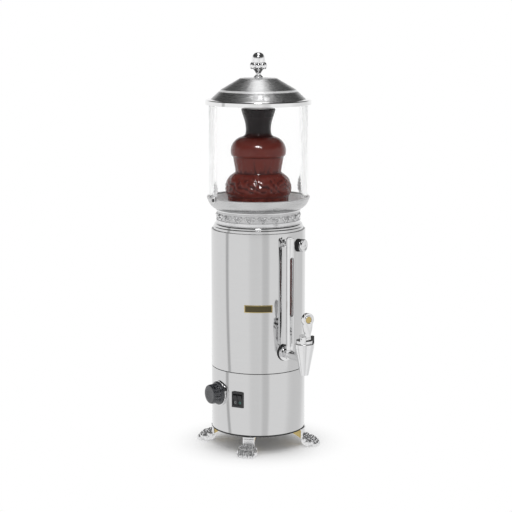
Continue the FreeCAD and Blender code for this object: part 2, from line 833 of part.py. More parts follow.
def gauge_guard():
    """Chromed guard tube with a long window at its front, a slit below it and an open back."""
    r = gauge_d / 2
    guard = tube(r, r - gauge_wall, gauge_foot_z, gauge_h)
    half = gauge_slot_w / 2
    low, high = gauge_slot_z, gauge_slot_z + gauge_slot_h
    face = face_xz([(-half, low + half), (half, low + half, half), (half, high - half),
                    (-half, high - half, half)])
    face.translate(Y * -(r + 2))
    window = face.extrude(Y * (r + 2))
    slit = block(0, -r, gauge_foot_z + 6, gauge_slit_w, r + 4, low - gauge_foot_z)
    back = block(0, r, gauge_foot_z + 10, gauge_slot_w, r + 4, gauge_h - 30)
    guard = guard.cut(window).cut(slit).cut(back)
    guard.translate(Y * gauge_y)
    return guard


def gauge_glass():
    r = gauge_glass_d / 2
    glass = tube(r, r - gauge_glass_wall, gauge_foot_z - 4, gauge_h + 2)
    glass.translate(Y * gauge_y)
    return glass


def gauge_chocolate():
    return rod(gauge_glass_d / 2 - gauge_glass_wall, 0, gauge_y, gauge_foot_z - 4, Z, gauge_fill_h)


def gauge_top_fitting():
    top = gauge_foot_z + gauge_h
    r = gauge_d / 2 + 0.6
    body = rod(r, 0, gauge_y, top - gauge_arm_d - 4, Z, gauge_arm_d + 7)
    dome = rod(r - 2.4, 0, gauge_y, top + 3, Z, 2.4)
    socket = rod(gauge_d / 2, 0, gauge_y, top - gauge_arm_d - 6, Z, gauge_arm_d + 6)
    arm_z = top - gauge_arm_d
    arm = rod(gauge_arm_d / 2, 0, gauge_y, arm_z, Y, gauge_reach + 4)
    collar = saddle(gauge_arm_d / 2 + 3, arm_z, 2.5)
    return body.fuse(dome).fuse(arm).fuse(collar).cut(socket)


def gauge_nut():
    foot = gauge_foot_z - gauge_nut_h
    nut = hexagon(gauge_nut_w, 0, gauge_y, foot, gauge_nut_h)
    return nut.cut(rod(gauge_glass_d / 2, 0, gauge_y, foot - 1, Z, gauge_nut_h + 2))


def gauge_seals():
    """Two rubber rings that centre the gauge glass in its guard."""
    r = gauge_d / 2 - gauge_wall
    seal = tube(r, gauge_glass_d / 2, gauge_foot_z, 4)
    top = seal.translated(Z * (gauge_h - 14))
    both = Part.makeCompound([seal, top])
    both.translate(Y * gauge_y)
    return both


# Filler

def filler_neck():
    start = -(body_r + cap_collar_t)
    length = body_r + cap_collar_t - jacket_r + vessel_sheet + 2
    neck = rod(neck_d / 2, 0, start, cap_z, Y, length)
    bore = rod(neck_d / 2 - neck_wall, 0, start - 1, cap_z, Y, length + 2)
    return about(neck.cut(bore), cap_angle)


def cap_gasket():
    hole = rod(neck_d / 2, 0, -(body_r + 20), cap_z, Y, 40)
    return about(saddle(cap_collar_d / 2, cap_z, cap_collar_t).cut(hole), cap_angle)


def filler_cap():
    y = -(body_r + cap_collar_t)
    r = cap_d / 2
    profile = turned([(0, 0), (r, 0), (r, cap_t - 1.5), (r - 1.5, cap_t, 0.4), (r - 4, cap_t),
                      (r - 5, cap_t - 0.8), (0, cap_t - 0.8)])
    profile.rotate(ORIGIN, X, 90)
    profile.translate(FreeCAD.Vector(0, y, cap_z))
    plug = rod(neck_d / 2 - neck_wall - shaft_fit, 0, y, cap_z, Y, cap_plug_len)
    slot = block(0, y - cap_t, cap_z - cap_slot_w / 2, r, 4, cap_slot_w)
    return about(profile.fuse(plug).cut(slot), cap_angle)


# Controls

def knob_bezel():
    hole = rod(knob_shaft_d / 2 + 3, 0, -(body_r + 20), knob_z, Y, 40)
    return about(saddle(bezel_d / 2, knob_z, bezel_t).cut(hole), knob_angle)


def thermostat_knob():
    """Fluted knob with a thin skirt and a shaft into the thermostat."""
    y = -(body_r + bezel_t + knob_gap)
    skirt_r, r = skirt_d / 2, knob_d / 2
    top = skirt_t + knob_h
    knob = turned([(0, 0), (skirt_r, 0), (skirt_r, 1.2), (skirt_r - 2, skirt_t, -0.4), (r, skirt_t + 0.5),
                   (r - 0.6, top - 3), (r - 3, top, 0.8), (r - 6, top), (0, top - 1)])
    flute = rod(knob_flute_d / 2, 0, -(r + 1.2), skirt_t + 0.6, Z, knob_h)
    knob = knob.cut(Part.makeCompound(ring_of(flute, knob_flute_count)))
    knob.rotate(ORIGIN, X, 90)
    knob.translate(FreeCAD.Vector(0, y, knob_z))
    shaft = rod(knob_shaft_d / 2, 0, y, knob_z, Y, 22)
    return about(knob.fuse(shaft), knob_angle)


def thermostat():
    face = -(body_r - sheet)
    half = thermostat_w / 2
    front = block(0, face + thermostat_depth / 2, knob_z - half, thermostat_w, thermostat_depth, 2 * half)
    inside = rod(body_r - sheet, 0, 0, casing_z, Z, lower_h)
    collar = rod(knob_shaft_d, 0, -body_r + 0.2, knob_z, Y, 6)
    bore = rod(knob_shaft_d / 2 + shaft_fit, 0, -(body_r + 5), knob_z, Y, 28)
    return about(front.common(inside).fuse(collar).cut(bore), knob_angle)


def switch_front():
    """Outer face of the switch's flange."""
    return -(body_r + switch_flange_t)


def switch_housing():
    """Black switch frame and body with a pocket and two pin holes for each rocker."""
    y = switch_front()
    flange = block(0, y + 3, switch_z - switch_h / 2, switch_w, 6, switch_h).cut(casing_core())
    inner_w, inner_h = switch_w - 2 * switch_frame, switch_h - 2 * switch_frame
    depth = switch_box_depth
    box = block(0, y + 1 + depth / 2, switch_z - inner_h / 2, inner_w, depth, inner_h)
    pocket_w = (inner_w - 3) / 2
    pocket = rod(rocker_reach + rocker_gap, -pocket_w / 2, y + rocker_depth, switch_z, X, pocket_w)
    shift = pocket_w / 2 + 0.5
    pins = rod(rocker_pin_d / 2 + shaft_fit, -inner_w / 2 + 0.4, y + rocker_depth, switch_z, X, inner_w - 0.8)
    housing = flange.fuse(box)
    for side in (-1, 1):
        housing = housing.cut(pocket.translated(X * side * shift))
    return about(housing.cut(pins), switch_angle)


def rocker(side):
    """One rocker, tilted to its off position, with stub pins at its sides."""
    y = switch_front() + rocker_depth
    inner_w = switch_w - 2 * switch_frame
    pocket_w = (inner_w - 3) / 2
    width = pocket_w - 2 * rocker_gap
    reach = rocker_reach - 1.6
    rise = reach * math.tan(math.radians(rocker_tilt))
    face = Part.Face(Part.makePolygon([FreeCAD.Vector(-width / 2, y + 3, switch_z - reach),
                                       FreeCAD.Vector(-width / 2, y - 4.2 - rise, switch_z - reach),
                                       FreeCAD.Vector(-width / 2, y - 4.2, switch_z),
                                       FreeCAD.Vector(-width / 2, y - 4.2 - rise, switch_z + reach),
                                       FreeCAD.Vector(-width / 2, y + 3, switch_z + reach),
                                       FreeCAD.Vector(-width / 2, y + 3, switch_z - reach)]))
    body = face.extrude(X * width)
    body = body.fuse(rod(rocker_pin_d / 2, -width / 2 - 0.8, y, switch_z, X, width + 1.6))
    body.rotate(FreeCAD.Vector(0, y, switch_z), X, rocker_tilt)
    body.translate(X * side * (pocket_w / 2 + 0.5))
    return about(body, switch_angle)


def label_plate():
    plate = tube(body_r + label_t, body_r + label_gap, label_z - label_h / 2, label_h)
    return about(plate.common(block(0, -body_r, label_z - label_h, label_w, 30, 2 * label_h)), label_angle)


def cable_gland():
    """Cable inlet at the back: hexagon, dome and a round bore."""
    r = gland_d / 2
    nut = hexagon(gland_d, 0, 0, 0, 6)
    dome = turned([(0, 6), (r - 2, 6), (r - 2, 13), (r - 5, 18, 1.2), (0, 18)])
    tail = rod(r - 3, 0, 0, -12, Z, 12)
    gland = nut.fuse(dome).fuse(tail).cut(rod(gland_bore / 2, 0, 0, -20, Z, 60))
    gland.rotate(ORIGIN, X, 90)
    gland.translate(FreeCAD.Vector(0, -(body_r + 1), gland_z))
    seat = rod(r + 1, 0, -(body_r + 1), gland_z, Y, 6).cut(casing_core())
    seat = seat.cut(rod(r - 3, 0, -(body_r + 5), gland_z, Y, 40))
    return about(gland.fuse(seat), 180)


# Feet

def toe(start, tip, r):
    """One toe, turned about the line from its knuckle to its rounded tip."""
    run = tip - start
    far = run.Length
    shape = turned([(0, 0), (0.8 * r, 0), (r, far), (0.82 * r, far + 0.6 * r), (0.4 * r, far + 0.9 * r),
                    (0, far + r)])
    shape.Placement = FreeCAD.Placement(start, FreeCAD.Rotation(Z, run))
    return shape


def paw_foot():
    """Cast foot: leg plate, ankle and a paw with four toes, flat where it stands."""
    toe_r = toe_d / 2
    paw_y = -(leg_front_r + paw_set)
    leg = block(0, -(leg_front_r - leg_t / 2), paw_h / 2, leg_w, leg_t, base_z - paw_h / 2)
    flange_len = leg_front_r - bolt_r + leg_flange_over
    flange = block(0, -(leg_front_r - flange_len / 2), base_z - leg_flange_t, leg_w, flange_len, leg_flange_t)
    pad = turned([(0, -2), (pad_r, -2), (pad_r, paw_h * 0.3), (pad_r * 0.86, paw_h * 0.62),
                  (pad_r * 0.55, paw_h * 0.9), (0, paw_h)])
    pad.translate(Y * paw_y)
    parts = [flange, pad]
    spread = (paw_w - toe_d) / (toe_count - 1)
    for i in range(toe_count):
        across = (i - (toe_count - 1) / 2) * spread
        knuckle = FreeCAD.Vector(across * 0.55, paw_y, paw_h * 0.55)
        tip = FreeCAD.Vector(across, -(foot_reach - toe_r - 0.9 * toe_r) + abs(across) * 0.28, toe_r)
        parts.append(toe(knuckle, tip, toe_r))
    bolt_hole = rod(bolt_d / 2, 0, -bolt_r, 0, Z, base_z + 5)
    ground = block(0, 0, -paw_h, 2 * foot_reach, 2 * foot_reach, paw_h)
    return leg.multiFuse(parts).cut(ground).cut(bolt_hole)


def leg_bracket():
    """Brass gusset under the base plate behind each foot."""
    half = bracket_w / 2
    back = -(leg_front_r - leg_t)
    top = base_z - leg_flange_t
    face = Part.Face(Part.makePolygon([FreeCAD.Vector(-half, back, top), FreeCAD.Vector(-half, back, top - bracket_drop),
                                       FreeCAD.Vector(-half, back + bracket_len, top),
                                       FreeCAD.Vector(-half, back, top)]))
    gusset = face.extrude(X * bracket_w)
    hollow = face.extrude(X * (bracket_w - 2 * bracket_t))
    hollow.translate(FreeCAD.Vector(bracket_t, bracket_t, -bracket_t))
    bolt_hole = rod(bolt_d / 2, 0, -bolt_r, 0, Z, base_z)
    return gusset.cut(hollow).cut(bolt_hole)


def leg_bolt():
    seat = base_z - leg_flange_t - bracket_t
    head = rod(bolt_head_d / 2, 0, -bolt_r, seat - bolt_head_h, Z, bolt_head_h)
    return head.fuse(rod(bolt_d / 2, 0, -bolt_r, seat, Z, bracket_t + leg_flange_t + trim_h + 4))


def all_nodes():
    nodes = {
        "base_plate": base_plate(), "base_trim": base_trim(), "lower_casing": lower_casing(),
        "seam_gasket": seam_gasket(), "upper_casing": upper_casing(), "top_flange": top_flange(),
        "frieze_ring": frieze_ring(), "tray_bowl": tray_bowl(), "water_jacket": water_jacket(),
        "chocolate_tank": chocolate_tank(), "heating_element": heating_element(),
        "shaft_bush": shaft_bush(), "drive_motor": drive_motor(), "motor_bracket": motor_bracket(),
        "drive_shaft": drive_shaft(), "stirrer": stirrer(), "auger": auger(),
        "fountain_tube": fountain_tube(),
        "lower_tier": bell(lower_bell_d, lower_bell_lip_z, lower_bell_drop),
        "upper_tier": bell(upper_bell_d, upper_bell_lip_z, upper_bell_drop),
        "crown_cup": crown_cup(), "chocolate_flow": chocolate_flow(),
        "glass_cylinder": glass_cylinder(), "lid_shell": lid_shell(), "lid_finial": lid_finial(),
        "finial_nut": finial_nut(), "tap_body": tap_body(), "tap_gasket": tap_gasket(),
        "tap_nut": tap_nut(), "tap_bonnet": tap_bonnet(), "tap_lever": tap_lever(),
        "lever_badge": lever_badge(), "lever_pin": lever_pin(), "tap_plunger": tap_plunger(),
        "gauge_guard": gauge_guard(), "gauge_glass": gauge_glass(), "gauge_chocolate": gauge_chocolate(),
        "gauge_top_fitting": gauge_top_fitting(), "gauge_nut": gauge_nut(), "gauge_seals": gauge_seals(),
        "filler_neck": filler_neck(), "cap_gasket": cap_gasket(), "filler_cap": filler_cap(),
        "knob_bezel": knob_bezel(), "thermostat_knob": thermostat_knob(), "thermostat": thermostat(),
        "switch_housing": switch_housing(), "rocker_left": rocker(-1), "rocker_right": rocker(1),
        "label_plate": label_plate(), "cable_gland": cable_gland(),
    }
    for name, angle in zip(foot_names, foot_angles):
        nodes[name] = about(paw_foot(), angle)
    nodes["leg_brackets"] = Part.makeCompound([about(leg_bracket(), a) for a in foot_angles])
    nodes["leg_bolts"] = Part.makeCompound([about(leg_bolt(), a) for a in foot_angles])
    nodes["glass_clip_left"] = about(glass_clip(), clip_angles[0])
    nodes["glass_clip_right"] = about(glass_clip(), clip_angles[1])
    nodes["clip_screws"] = Part.makeCompound([about(clip_screw(), a) for a in clip_angles])
    return nodes


os.makedirs("parts", exist_ok=True)
for node, shape in all_nodes().items():
    shape.exportStep("parts/" + node + ".step")
    kinds = [s.isValid() for s in shape.Solids]
    print(node, len(kinds), all(kinds), round(shape.Volume / 1000, 2))
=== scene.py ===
import json
import math

import bmesh
import bpy
from mathutils import Matrix, Vector, noise
from mathutils.bvhtree import BVHTree


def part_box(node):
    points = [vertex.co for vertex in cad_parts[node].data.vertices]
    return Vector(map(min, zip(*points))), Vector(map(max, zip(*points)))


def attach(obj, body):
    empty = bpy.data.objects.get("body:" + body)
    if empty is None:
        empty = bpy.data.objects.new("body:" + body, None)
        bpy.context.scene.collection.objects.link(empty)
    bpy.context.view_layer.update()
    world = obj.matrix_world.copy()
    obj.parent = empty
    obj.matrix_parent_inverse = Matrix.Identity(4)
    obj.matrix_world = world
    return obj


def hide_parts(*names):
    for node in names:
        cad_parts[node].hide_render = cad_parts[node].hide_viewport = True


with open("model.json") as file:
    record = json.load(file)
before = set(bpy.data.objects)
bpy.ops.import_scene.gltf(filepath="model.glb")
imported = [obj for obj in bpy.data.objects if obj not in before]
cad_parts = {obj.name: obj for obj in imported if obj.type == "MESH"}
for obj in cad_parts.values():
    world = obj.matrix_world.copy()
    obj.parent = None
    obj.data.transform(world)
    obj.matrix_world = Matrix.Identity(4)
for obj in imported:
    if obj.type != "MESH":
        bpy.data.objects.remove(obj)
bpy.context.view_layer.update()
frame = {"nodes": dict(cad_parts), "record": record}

# Looks of a hot drinks dispenser with a chocolate fountain under glass.
# Metres in the frame's axes: +Z up, the tap at -Y. Azimuths turn from the front towards +X.

nodes = frame["nodes"]
node_slot = {row["node"]: row["material_slot"] for row in frame["record"]["subparts"]}
bodies = frame["record"]["behaviour"]["bodies"]
node_body = {name: body for body, names in bodies.items() for name in names}
mm = 0.001

# Places read from the frame
seam_inset = 0.8 * mm
body_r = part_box("seam_gasket")[1].x + seam_inset
frieze_low, frieze_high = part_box("frieze_ring")[0].z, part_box("frieze_ring")[1].z
frieze_r = 84.5 * mm
tray_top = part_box("tray_bowl")[1].z
glass_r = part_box("glass_cylinder")[1].x
crown_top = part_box("chocolate_flow")[1].z
lid_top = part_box("lid_shell")[1].z
foot_azimuth = {"foot_front_right": 45, "foot_rear_right": 135, "foot_rear_left": 225,
                "foot_front_left": 315}
switch_azimuth, label_azimuth, knob_azimuth = -58.6, -33.0, -89.0
knob_height = 117

# Camera and lights
camera_azimuth, camera_pitch = math.radians(-33.0), math.radians(9.5)
camera_distance, camera_height, aim_height = 3.04, 0.89, 0.3883
aim_left = 4.7 * mm
focal_pixels, image_pixels = 1500.0, 512.0
sensor_width = 36.0
shadow_end, white_start = 0.08, 0.20

# Tall grey cards round the room: azimuth, half width, the same with its soft edge, light taken
grey_cards = ((-114.6, 1.5, 6, 0.40), (-15.5, 2, 12, 0.24), (-40, 5, 20, 0.10), (75, 8, 40, 0.16))
room_level, matt_level, ceiling_share = 0.98, 0.85, 0.955
ceiling_low, ceiling_high = 0.20, 0.42


# Node trees

def link(tree, source, target):
    """Joins a socket, or sets a plain value."""
    if isinstance(source, bpy.types.NodeSocket):
        tree.links.new(source, target)
    else:
        target.default_value = source


def math_node(tree, operation, *values):
    node = tree.nodes.new("ShaderNodeMath")
    node.operation = operation
    for value, socket in zip(values, node.inputs):
        link(tree, value, socket)
    return node.outputs[0]


def smooth_step(tree, value, low, high):
    """0 below low and 1 above high, eased between."""
    node = tree.nodes.new("ShaderNodeMapRange")
    node.interpolation_type = "SMOOTHSTEP"
    link(tree, value, node.inputs["Value"])
    node.inputs["From Min"].default_value = low
    node.inputs["From Max"].default_value = high
    return node.outputs["Result"]


def new_pattern(name):
    """Node group with a Scale input and a Mask output, and its object coordinates."""
    group = bpy.data.node_groups.new(name, "ShaderNodeTree")
    group.interface.new_socket("Scale", in_out="INPUT", socket_type="NodeSocketFloat")
    group.interface.new_socket("Mask", in_out="OUTPUT", socket_type="NodeSocketFloat")
    entry = group.nodes.new("NodeGroupInput")
    leave = group.nodes.new("NodeGroupOutput")
    place = group.nodes.new("ShaderNodeTexCoord").outputs["Object"]
    return group, entry.outputs["Scale"], leave.inputs["Mask"], place


def noise_mask(group, vector, scale, detail=3.0, rough=0.5, warp=0.0):
    node = group.nodes.new("ShaderNodeTexNoise")
    link(group, vector, node.inputs["Vector"])
    link(group, scale, node.inputs["Scale"])
    node.inputs["Detail"].default_value = detail
    node.inputs["Roughness"].default_value = rough
    node.inputs["Distortion"].default_value = warp
    return node.outputs["Fac"]


def turned_marks():
    """Fine rings of a sheet that was polished while it turned about the upright axis."""
    group, scale, mask, place = new_pattern("turned_marks")
    split = group.nodes.new("ShaderNodeSeparateXYZ")
    link(group, place, split.inputs[0])
    x, y, z = split.outputs
    radius = math_node(group, "SQRT", math_node(group, "ADD", math_node(group, "MULTIPLY", x, x),
                                                math_node(group, "MULTIPLY", y, y)))
    join = group.nodes.new("ShaderNodeCombineXYZ")
    along_ring = math_node(group, "MULTIPLY", math_node(group, "ARCTAN2", x, y), 0.004)
    link(group, radius, join.inputs[0])
    link(group, along_ring, join.inputs[1])
    link(group, z, join.inputs[2])
    link(group, noise_mask(group, join.outputs[0], scale, 4.0, 0.7), mask)
    return group


def polish_lines():
    """Fine upright lines of a hand-polished casting."""
    group, scale, mask, place = new_pattern("polish_lines")
    turn = group.nodes.new("ShaderNodeMapping")
    link(group, place, turn.inputs["Vector"])
    turn.inputs["Scale"].default_value = (1.0, 1.0, 0.06)
    link(group, noise_mask(group, turn.outputs[0], scale, 3.0, 0.6), mask)
    return group


def cloud():
    """Soft uneven patches, such as smears and tarnish."""
    group, scale, mask, place = new_pattern("cloud")
    link(group, noise_mask(group, place, scale, 4.0, 0.55, 0.4), mask)
    return group


def fine_pores():
    """Close grain of moulded and rubber surfaces."""
    group, scale, mask, place = new_pattern("fine_pores")
    link(group, noise_mask(group, place, scale, 2.0, 0.8), mask)
    return group


def cast_skin():
    """Shallow dimples of a sand casting."""
    group, scale, mask, place = new_pattern("cast_skin")
    cells = group.nodes.new("ShaderNodeTexVoronoi")
    cells.feature = "SMOOTH_F1"
    link(group, place, cells.inputs["Vector"])
    link(group, scale, cells.inputs["Scale"])
    grain = noise_mask(group, place, scale, 3.0, 0.6)
    link(group, math_node(group, "MULTIPLY_ADD", cells.outputs["Distance"], 0.6,
                          math_node(group, "MULTIPLY", grain, 0.5)), mask)
    return group


def marble_veins():
    """Pale wandering veins of a marbled moulding."""
    group, scale, mask, place = new_pattern("marble_veins")
    flow = noise_mask(group, place, scale, 5.0, 0.6, 1.6)
    away = math_node(group, "ABSOLUTE", math_node(group, "SUBTRACT", flow, 0.5))
    link(group, math_node(group, "SUBTRACT", 1.0, smooth_step(group, away, 0.0, 0.055)), mask)
    return group


patterns = {make.__name__: make() for make in
            (turned_marks, polish_lines, cloud, fine_pores, cast_skin, marble_veins)}


def mix_colour(tree, mask, dark, light):
    node = tree.nodes.new("ShaderNodeMix")
    node.data_type = "RGBA"
    link(tree, mask, node.inputs["Factor"])
    for value, socket in ((dark, node.inputs[6]), (light, node.inputs[7])):
        if isinstance(value, bpy.types.NodeSocket):
            link(tree, value, socket)
        else:
            socket.default_value = (*value, 1.0)
    return node.outputs[2]


def finish(name, pattern, scale, dark, light, rough, relief=0.0, hollow_shade=None, **shader):
    """Material whose colour, roughness and relief follow one of the shared patterns.

    hollow is painted shade: the colour laid in the recesses of pieces that carry the matching
    attribute.
    """
    mat = bpy.data.materials.new(name)
    mat.use_nodes = True
    tree = mat.node_tree
    surface = tree.nodes["Principled BSDF"]
    group = tree.nodes.new("ShaderNodeGroup")
    group.node_tree = patterns[pattern]
    group.inputs["Scale"].default_value = scale
    mask = group.outputs["Mask"]
    colour = mix_colour(tree, mask, dark, light)
    roughness = math_node(tree, "MULTIPLY_ADD", mask, rough[1] - rough[0], rough[0])
    # Painted shade: recesses marked by the attribute take the darker colour, and are rougher.
    if hollow_shade is not None:
        attribute = tree.nodes.new("ShaderNodeAttribute")
        attribute.attribute_name = "hollow_shade"
        depth = attribute.outputs["Fac"]
        colour = mix_colour(tree, depth, colour, hollow_shade)
        roughness = math_node(tree, "MULTIPLY_ADD", depth, 0.3, roughness)
    link(tree, colour, surface.inputs["Base Color"])
    link(tree, roughness, surface.inputs["Roughness"])
    if relief:
        bump = tree.nodes.new("ShaderNodeBump")
        bump.inputs["Strength"].default_value = 0.6
        bump.inputs["Distance"].default_value = relief
        link(tree, mask, bump.inputs["Height"])
        link(tree, bump.outputs[0], surface.inputs["Normal"])
    for socket, value in shader.items():
        surface.inputs[socket.replace("_", " ")].default_value = value
    return mat


def glass_finish():
    """Clear glass that casts no shadow, nearly unseen where it faces the eye, plain at its edges."""
    unseen_share = 0.975
    mat = finish("clear_glass", "cloud", 9.0, (0.93, 0.95, 0.95), (0.98, 0.99, 0.99), (0.0, 0.02),
                 Transmission_Weight=1.0, IOR=1.15)
    tree = mat.node_tree
    path = tree.nodes.new("ShaderNodeLightPath")
    clear = tree.nodes.new("ShaderNodeBsdfTransparent")
    either = tree.nodes.new("ShaderNodeMixShader")
    weight = tree.nodes.new("ShaderNodeLayerWeight")
    weight.inputs["Blend"].default_value = 0.5
    edge = smooth_step(tree, weight.outputs["Facing"], 0.45, 0.98)
    through = math_node(tree, "MULTIPLY", math_node(tree, "SUBTRACT", 1.0, edge), unseen_share)
    unseen = math_node(tree, "MAXIMUM", path.outputs["Is Shadow Ray"], through)
    link(tree, unseen, either.inputs["Fac"])
    link(tree, tree.nodes["Principled BSDF"].outputs[0], either.inputs[1])
    link(tree, clear.outputs[0], either.inputs[2])
    link(tree, either.outputs[0], tree.nodes["Material Output"].inputs["Surface"])
    return mat


def chocolate_finish():
    """Glossy melted chocolate, with painted shade in its troughs, and painted shade that darkens it
    to nearly black at the crown.
    """
    crown_shade_colour = (0.0095, 0.0062, 0.0070)
    dark_foot, dark_head = crown_top - 62 * mm, crown_top - 46 * mm
    mat = finish("chocolate", "cloud", 26.0, (0.098, 0.0185, 0.0140), (0.138, 0.0265, 0.0195),
                 (0.22, 0.30), relief=0.00012, hollow_shade=(0.050, 0.0090, 0.0075),
                 Specular_IOR_Level=0.05, Coat_Weight=0.42, Coat_Roughness=0.06)
    tree = mat.node_tree
    surface = tree.nodes["Principled BSDF"]
    colour = surface.inputs["Base Color"].links[0].from_socket
    split = tree.nodes.new("ShaderNodeSeparateXYZ")
    place = tree.nodes.new("ShaderNodeTexCoord").outputs["Object"]
    link(tree, place, split.inputs[0])
    # Painted shade: the colour darkens upwards to nearly black over the crown.
    high = smooth_step(tree, split.outputs[2], dark_foot, dark_head)
    link(tree, mix_colour(tree, high, colour, crown_shade_colour), surface.inputs["Base Color"])
    return mat


# The hollow colours in these finishes are painted shade for recesses.
finishes = {
    "polished_steel": finish("polished_steel", "turned_marks", 900, (0.60, 0.60, 0.605),
                             (0.66, 0.66, 0.66), (0.07, 0.11), Metallic=1.0),
    "brushed_steel": finish("brushed_steel", "turned_marks", 700, (0.52, 0.52, 0.525),
                            (0.66, 0.66, 0.66), (0.22, 0.34), relief=0.00004, Metallic=1.0,
                            Anisotropic=0.6),
    "chrome": finish("chrome", "cloud", 60, (0.74, 0.74, 0.75), (0.80, 0.80, 0.80), (0.05, 0.11),
                     hollow_shade=(0.16, 0.16, 0.17), Metallic=1.0),
    "cast_silver": finish("cast_silver", "cast_skin", 420, (0.74, 0.74, 0.75), (0.88, 0.88, 0.88),
                          (0.28, 0.38), relief=0.00007, hollow_shade=(0.22, 0.22, 0.225), Metallic=0.95),
    "vessel_steel": finish("vessel_steel", "turned_marks", 500, (0.42, 0.42, 0.42),
                           (0.52, 0.52, 0.52), (0.30, 0.42), Metallic=1.0),
    "black_rubber": finish("black_rubber", "fine_pores", 1500, (0.012, 0.012, 0.012),
                           (0.026, 0.026, 0.027), (0.55, 0.75), relief=0.00005),
    "black_plastic": finish("black_plastic", "fine_pores", 1200, (0.010, 0.010, 0.011),
                            (0.022, 0.022, 0.024), (0.28, 0.40), relief=0.00003),
    "bakelite": finish("bakelite", "marble_veins", 110, (0.013, 0.014, 0.017),
                       (0.062, 0.065, 0.074), (0.20, 0.26), Coat_Weight=0.5, Coat_Roughness=0.1),
    "clear_glass": glass_finish(),
    "chocolate": chocolate_finish(),
    "brass": finish("brass", "polish_lines", 500, (0.46, 0.35, 0.14), (0.60, 0.48, 0.22),
                    (0.24, 0.36), Metallic=1.0),
    "motor_paint": finish("motor_paint", "fine_pores", 700, (0.07, 0.07, 0.072),
                          (0.10, 0.10, 0.105), (0.38, 0.5), relief=0.00004),
    "steel_screw": finish("steel_screw", "cloud", 300, (0.42, 0.42, 0.42), (0.55, 0.55, 0.56),
                          (0.28, 0.4), Metallic=1.0),
}
polished_lip = finish("polished_lip", "cloud", 40, (0.80, 0.80, 0.80), (0.86, 0.86, 0.86),
                      (0.04, 0.08), Metallic=1.0)
# Paler, half-matt copy of the steel for upward faces of the lid step and the tray: painted light.
painted_light_steel = finish("painted_light_steel", "turned_marks", 500, (0.84, 0.84, 0.845), (0.90, 0.90, 0.90),
                     (0.38, 0.46), Metallic=0.5)
bright_casting = finish("bright_casting", "cloud", 90, (0.86, 0.86, 0.87), (0.92, 0.92, 0.92),
                        (0.16, 0.24), Metallic=1.0)
dark_label = finish("dark_label", "fine_pores", 900, (0.045, 0.034, 0.010), (0.085, 0.066, 0.018),
                    (0.3, 0.42), Metallic=0.25)
pale_mark = finish("pale_mark", "fine_pores", 900, (0.22, 0.23, 0.23), (0.30, 0.31, 0.31),
                   (0.35, 0.45))
green_mark = finish("green_mark", "fine_pores", 900, (0.06, 0.20, 0.17), (0.09, 0.28, 0.23),
                    (0.35, 0.45))


# Mesh helpers

def shade(bm, limit=32.0):
    """Smooth faces with hard edges where two faces meet at more than the limit."""
    for face in bm.faces:
        face.smooth = True
    for edge in bm.edges:
        if len(edge.link_faces) == 2:
            edge.smooth = edge.calc_face_angle() < math.radians(limit)


def piece(bm, name, body, slot, *replaced, material=None, limit=32.0):
    """Object made of the mesh, finished, and moving with a body of the frame."""
    shade(bm, limit)
    mesh = bpy.data.meshes.new(name)
    bm.to_mesh(mesh)
    bm.free()
    obj = bpy.data.objects.new(name, mesh)
    bpy.context.scene.collection.objects.link(obj)
    mesh.materials.append(material or finishes[slot])
    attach(obj, body)
    if replaced:
        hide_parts(*replaced)
    return obj


def turn(bm, degrees):
    """Turns a mesh made at the front to its azimuth."""
    bmesh.ops.rotate(bm, verts=bm.verts, cent=(0, 0, 0),
                     matrix=Matrix.Rotation(math.radians(degrees), 3, "Z"))
    return bm


def softened(points, rounds=3):
    """Outline with its corners cut, rounds times over. A point given twice stays a corner."""
    for _ in range(rounds):
        cut = [points[0]]
        for (r1, z1), (r2, z2) in zip(points, points[1:]):
            cut.append((0.75 * r1 + 0.25 * r2, 0.75 * z1 + 0.25 * z2))
            cut.append((0.25 * r1 + 0.75 * r2, 0.25 * z1 + 0.75 * z2))
        points = cut + [points[-1]]
    return points


def spun(outline, steps=160):
    """Outline of (radius, height) in millimetres, turned about the upright axis."""
    bm = bmesh.new()
    verts = [bm.verts.new((r * mm, 0, z * mm)) for r, z in outline]
    edges = [bm.edges.new(pair) for pair in zip(verts, verts[1:])]
    bmesh.ops.spin(bm, geom=verts + edges, cent=(0, 0, 0), axis=(0, 0, 1), angle=2 * math.pi,
                   steps=steps, use_merge=True)
    bmesh.ops.remove_doubles(bm, verts=bm.verts, dist=1e-6)
    bmesh.ops.recalc_face_normals(bm, faces=bm.faces)
    return bm


def dressed(node, edge=0.0, limit=32.0, material=None, name=None):
    """Merged copy of a node with softened edges, standing for it."""
    bm = bmesh.new()
    bm.from_mesh(nodes[node].data)
    bmesh.ops.remove_doubles(bm, verts=bm.verts, dist=2e-6)
    if edge:
        bmesh.ops.dissolve_limit(bm, angle_limit=math.radians(0.6), verts=bm.verts, edges=bm.edges)
        sharp = [e for e in bm.edges
                 if len(e.link_faces) == 2 and e.calc_face_angle() > math.radians(limit)]
        bmesh.ops.bevel(bm, geom=sharp, offset=edge * mm, offset_type="OFFSET", affect="EDGES",
                        segments=2, profile=0.5, material=-1, clamp_overlap=True)
    return piece(bm, name or node + "_finished", node_body[node], node_slot[node], node,
                 material=material, limit=limit)


def lump(bm, centre, radii, turn_deg=(0.0, 0.0, 0.0), fine=3):
    """Egg shape, in millimetres, that helps to build up a cast form."""
    tilt = (Matrix.Rotation(math.radians(turn_deg[2]), 4, "Z")
            @ Matrix.Rotation(math.radians(turn_deg[1]), 4, "Y")
            @ Matrix.Rotation(math.radians(turn_deg[0]), 4, "X"))
    matrix = (Matrix.Translation(Vector(centre) * mm) @ tilt
              @ Matrix.Diagonal((*(Vector(radii) * mm), 1.0)))
    bmesh.ops.create_icosphere(bm, subdivisions=fine, radius=1.0, matrix=matrix)


def slab(bm, centre, size):
    """Block, in millimetres."""
    matrix = Matrix.Translation(Vector(centre) * mm) @ Matrix.Diagonal((*(Vector(size) * mm), 1.0))
    bmesh.ops.create_cube(bm, size=1.0, matrix=matrix)


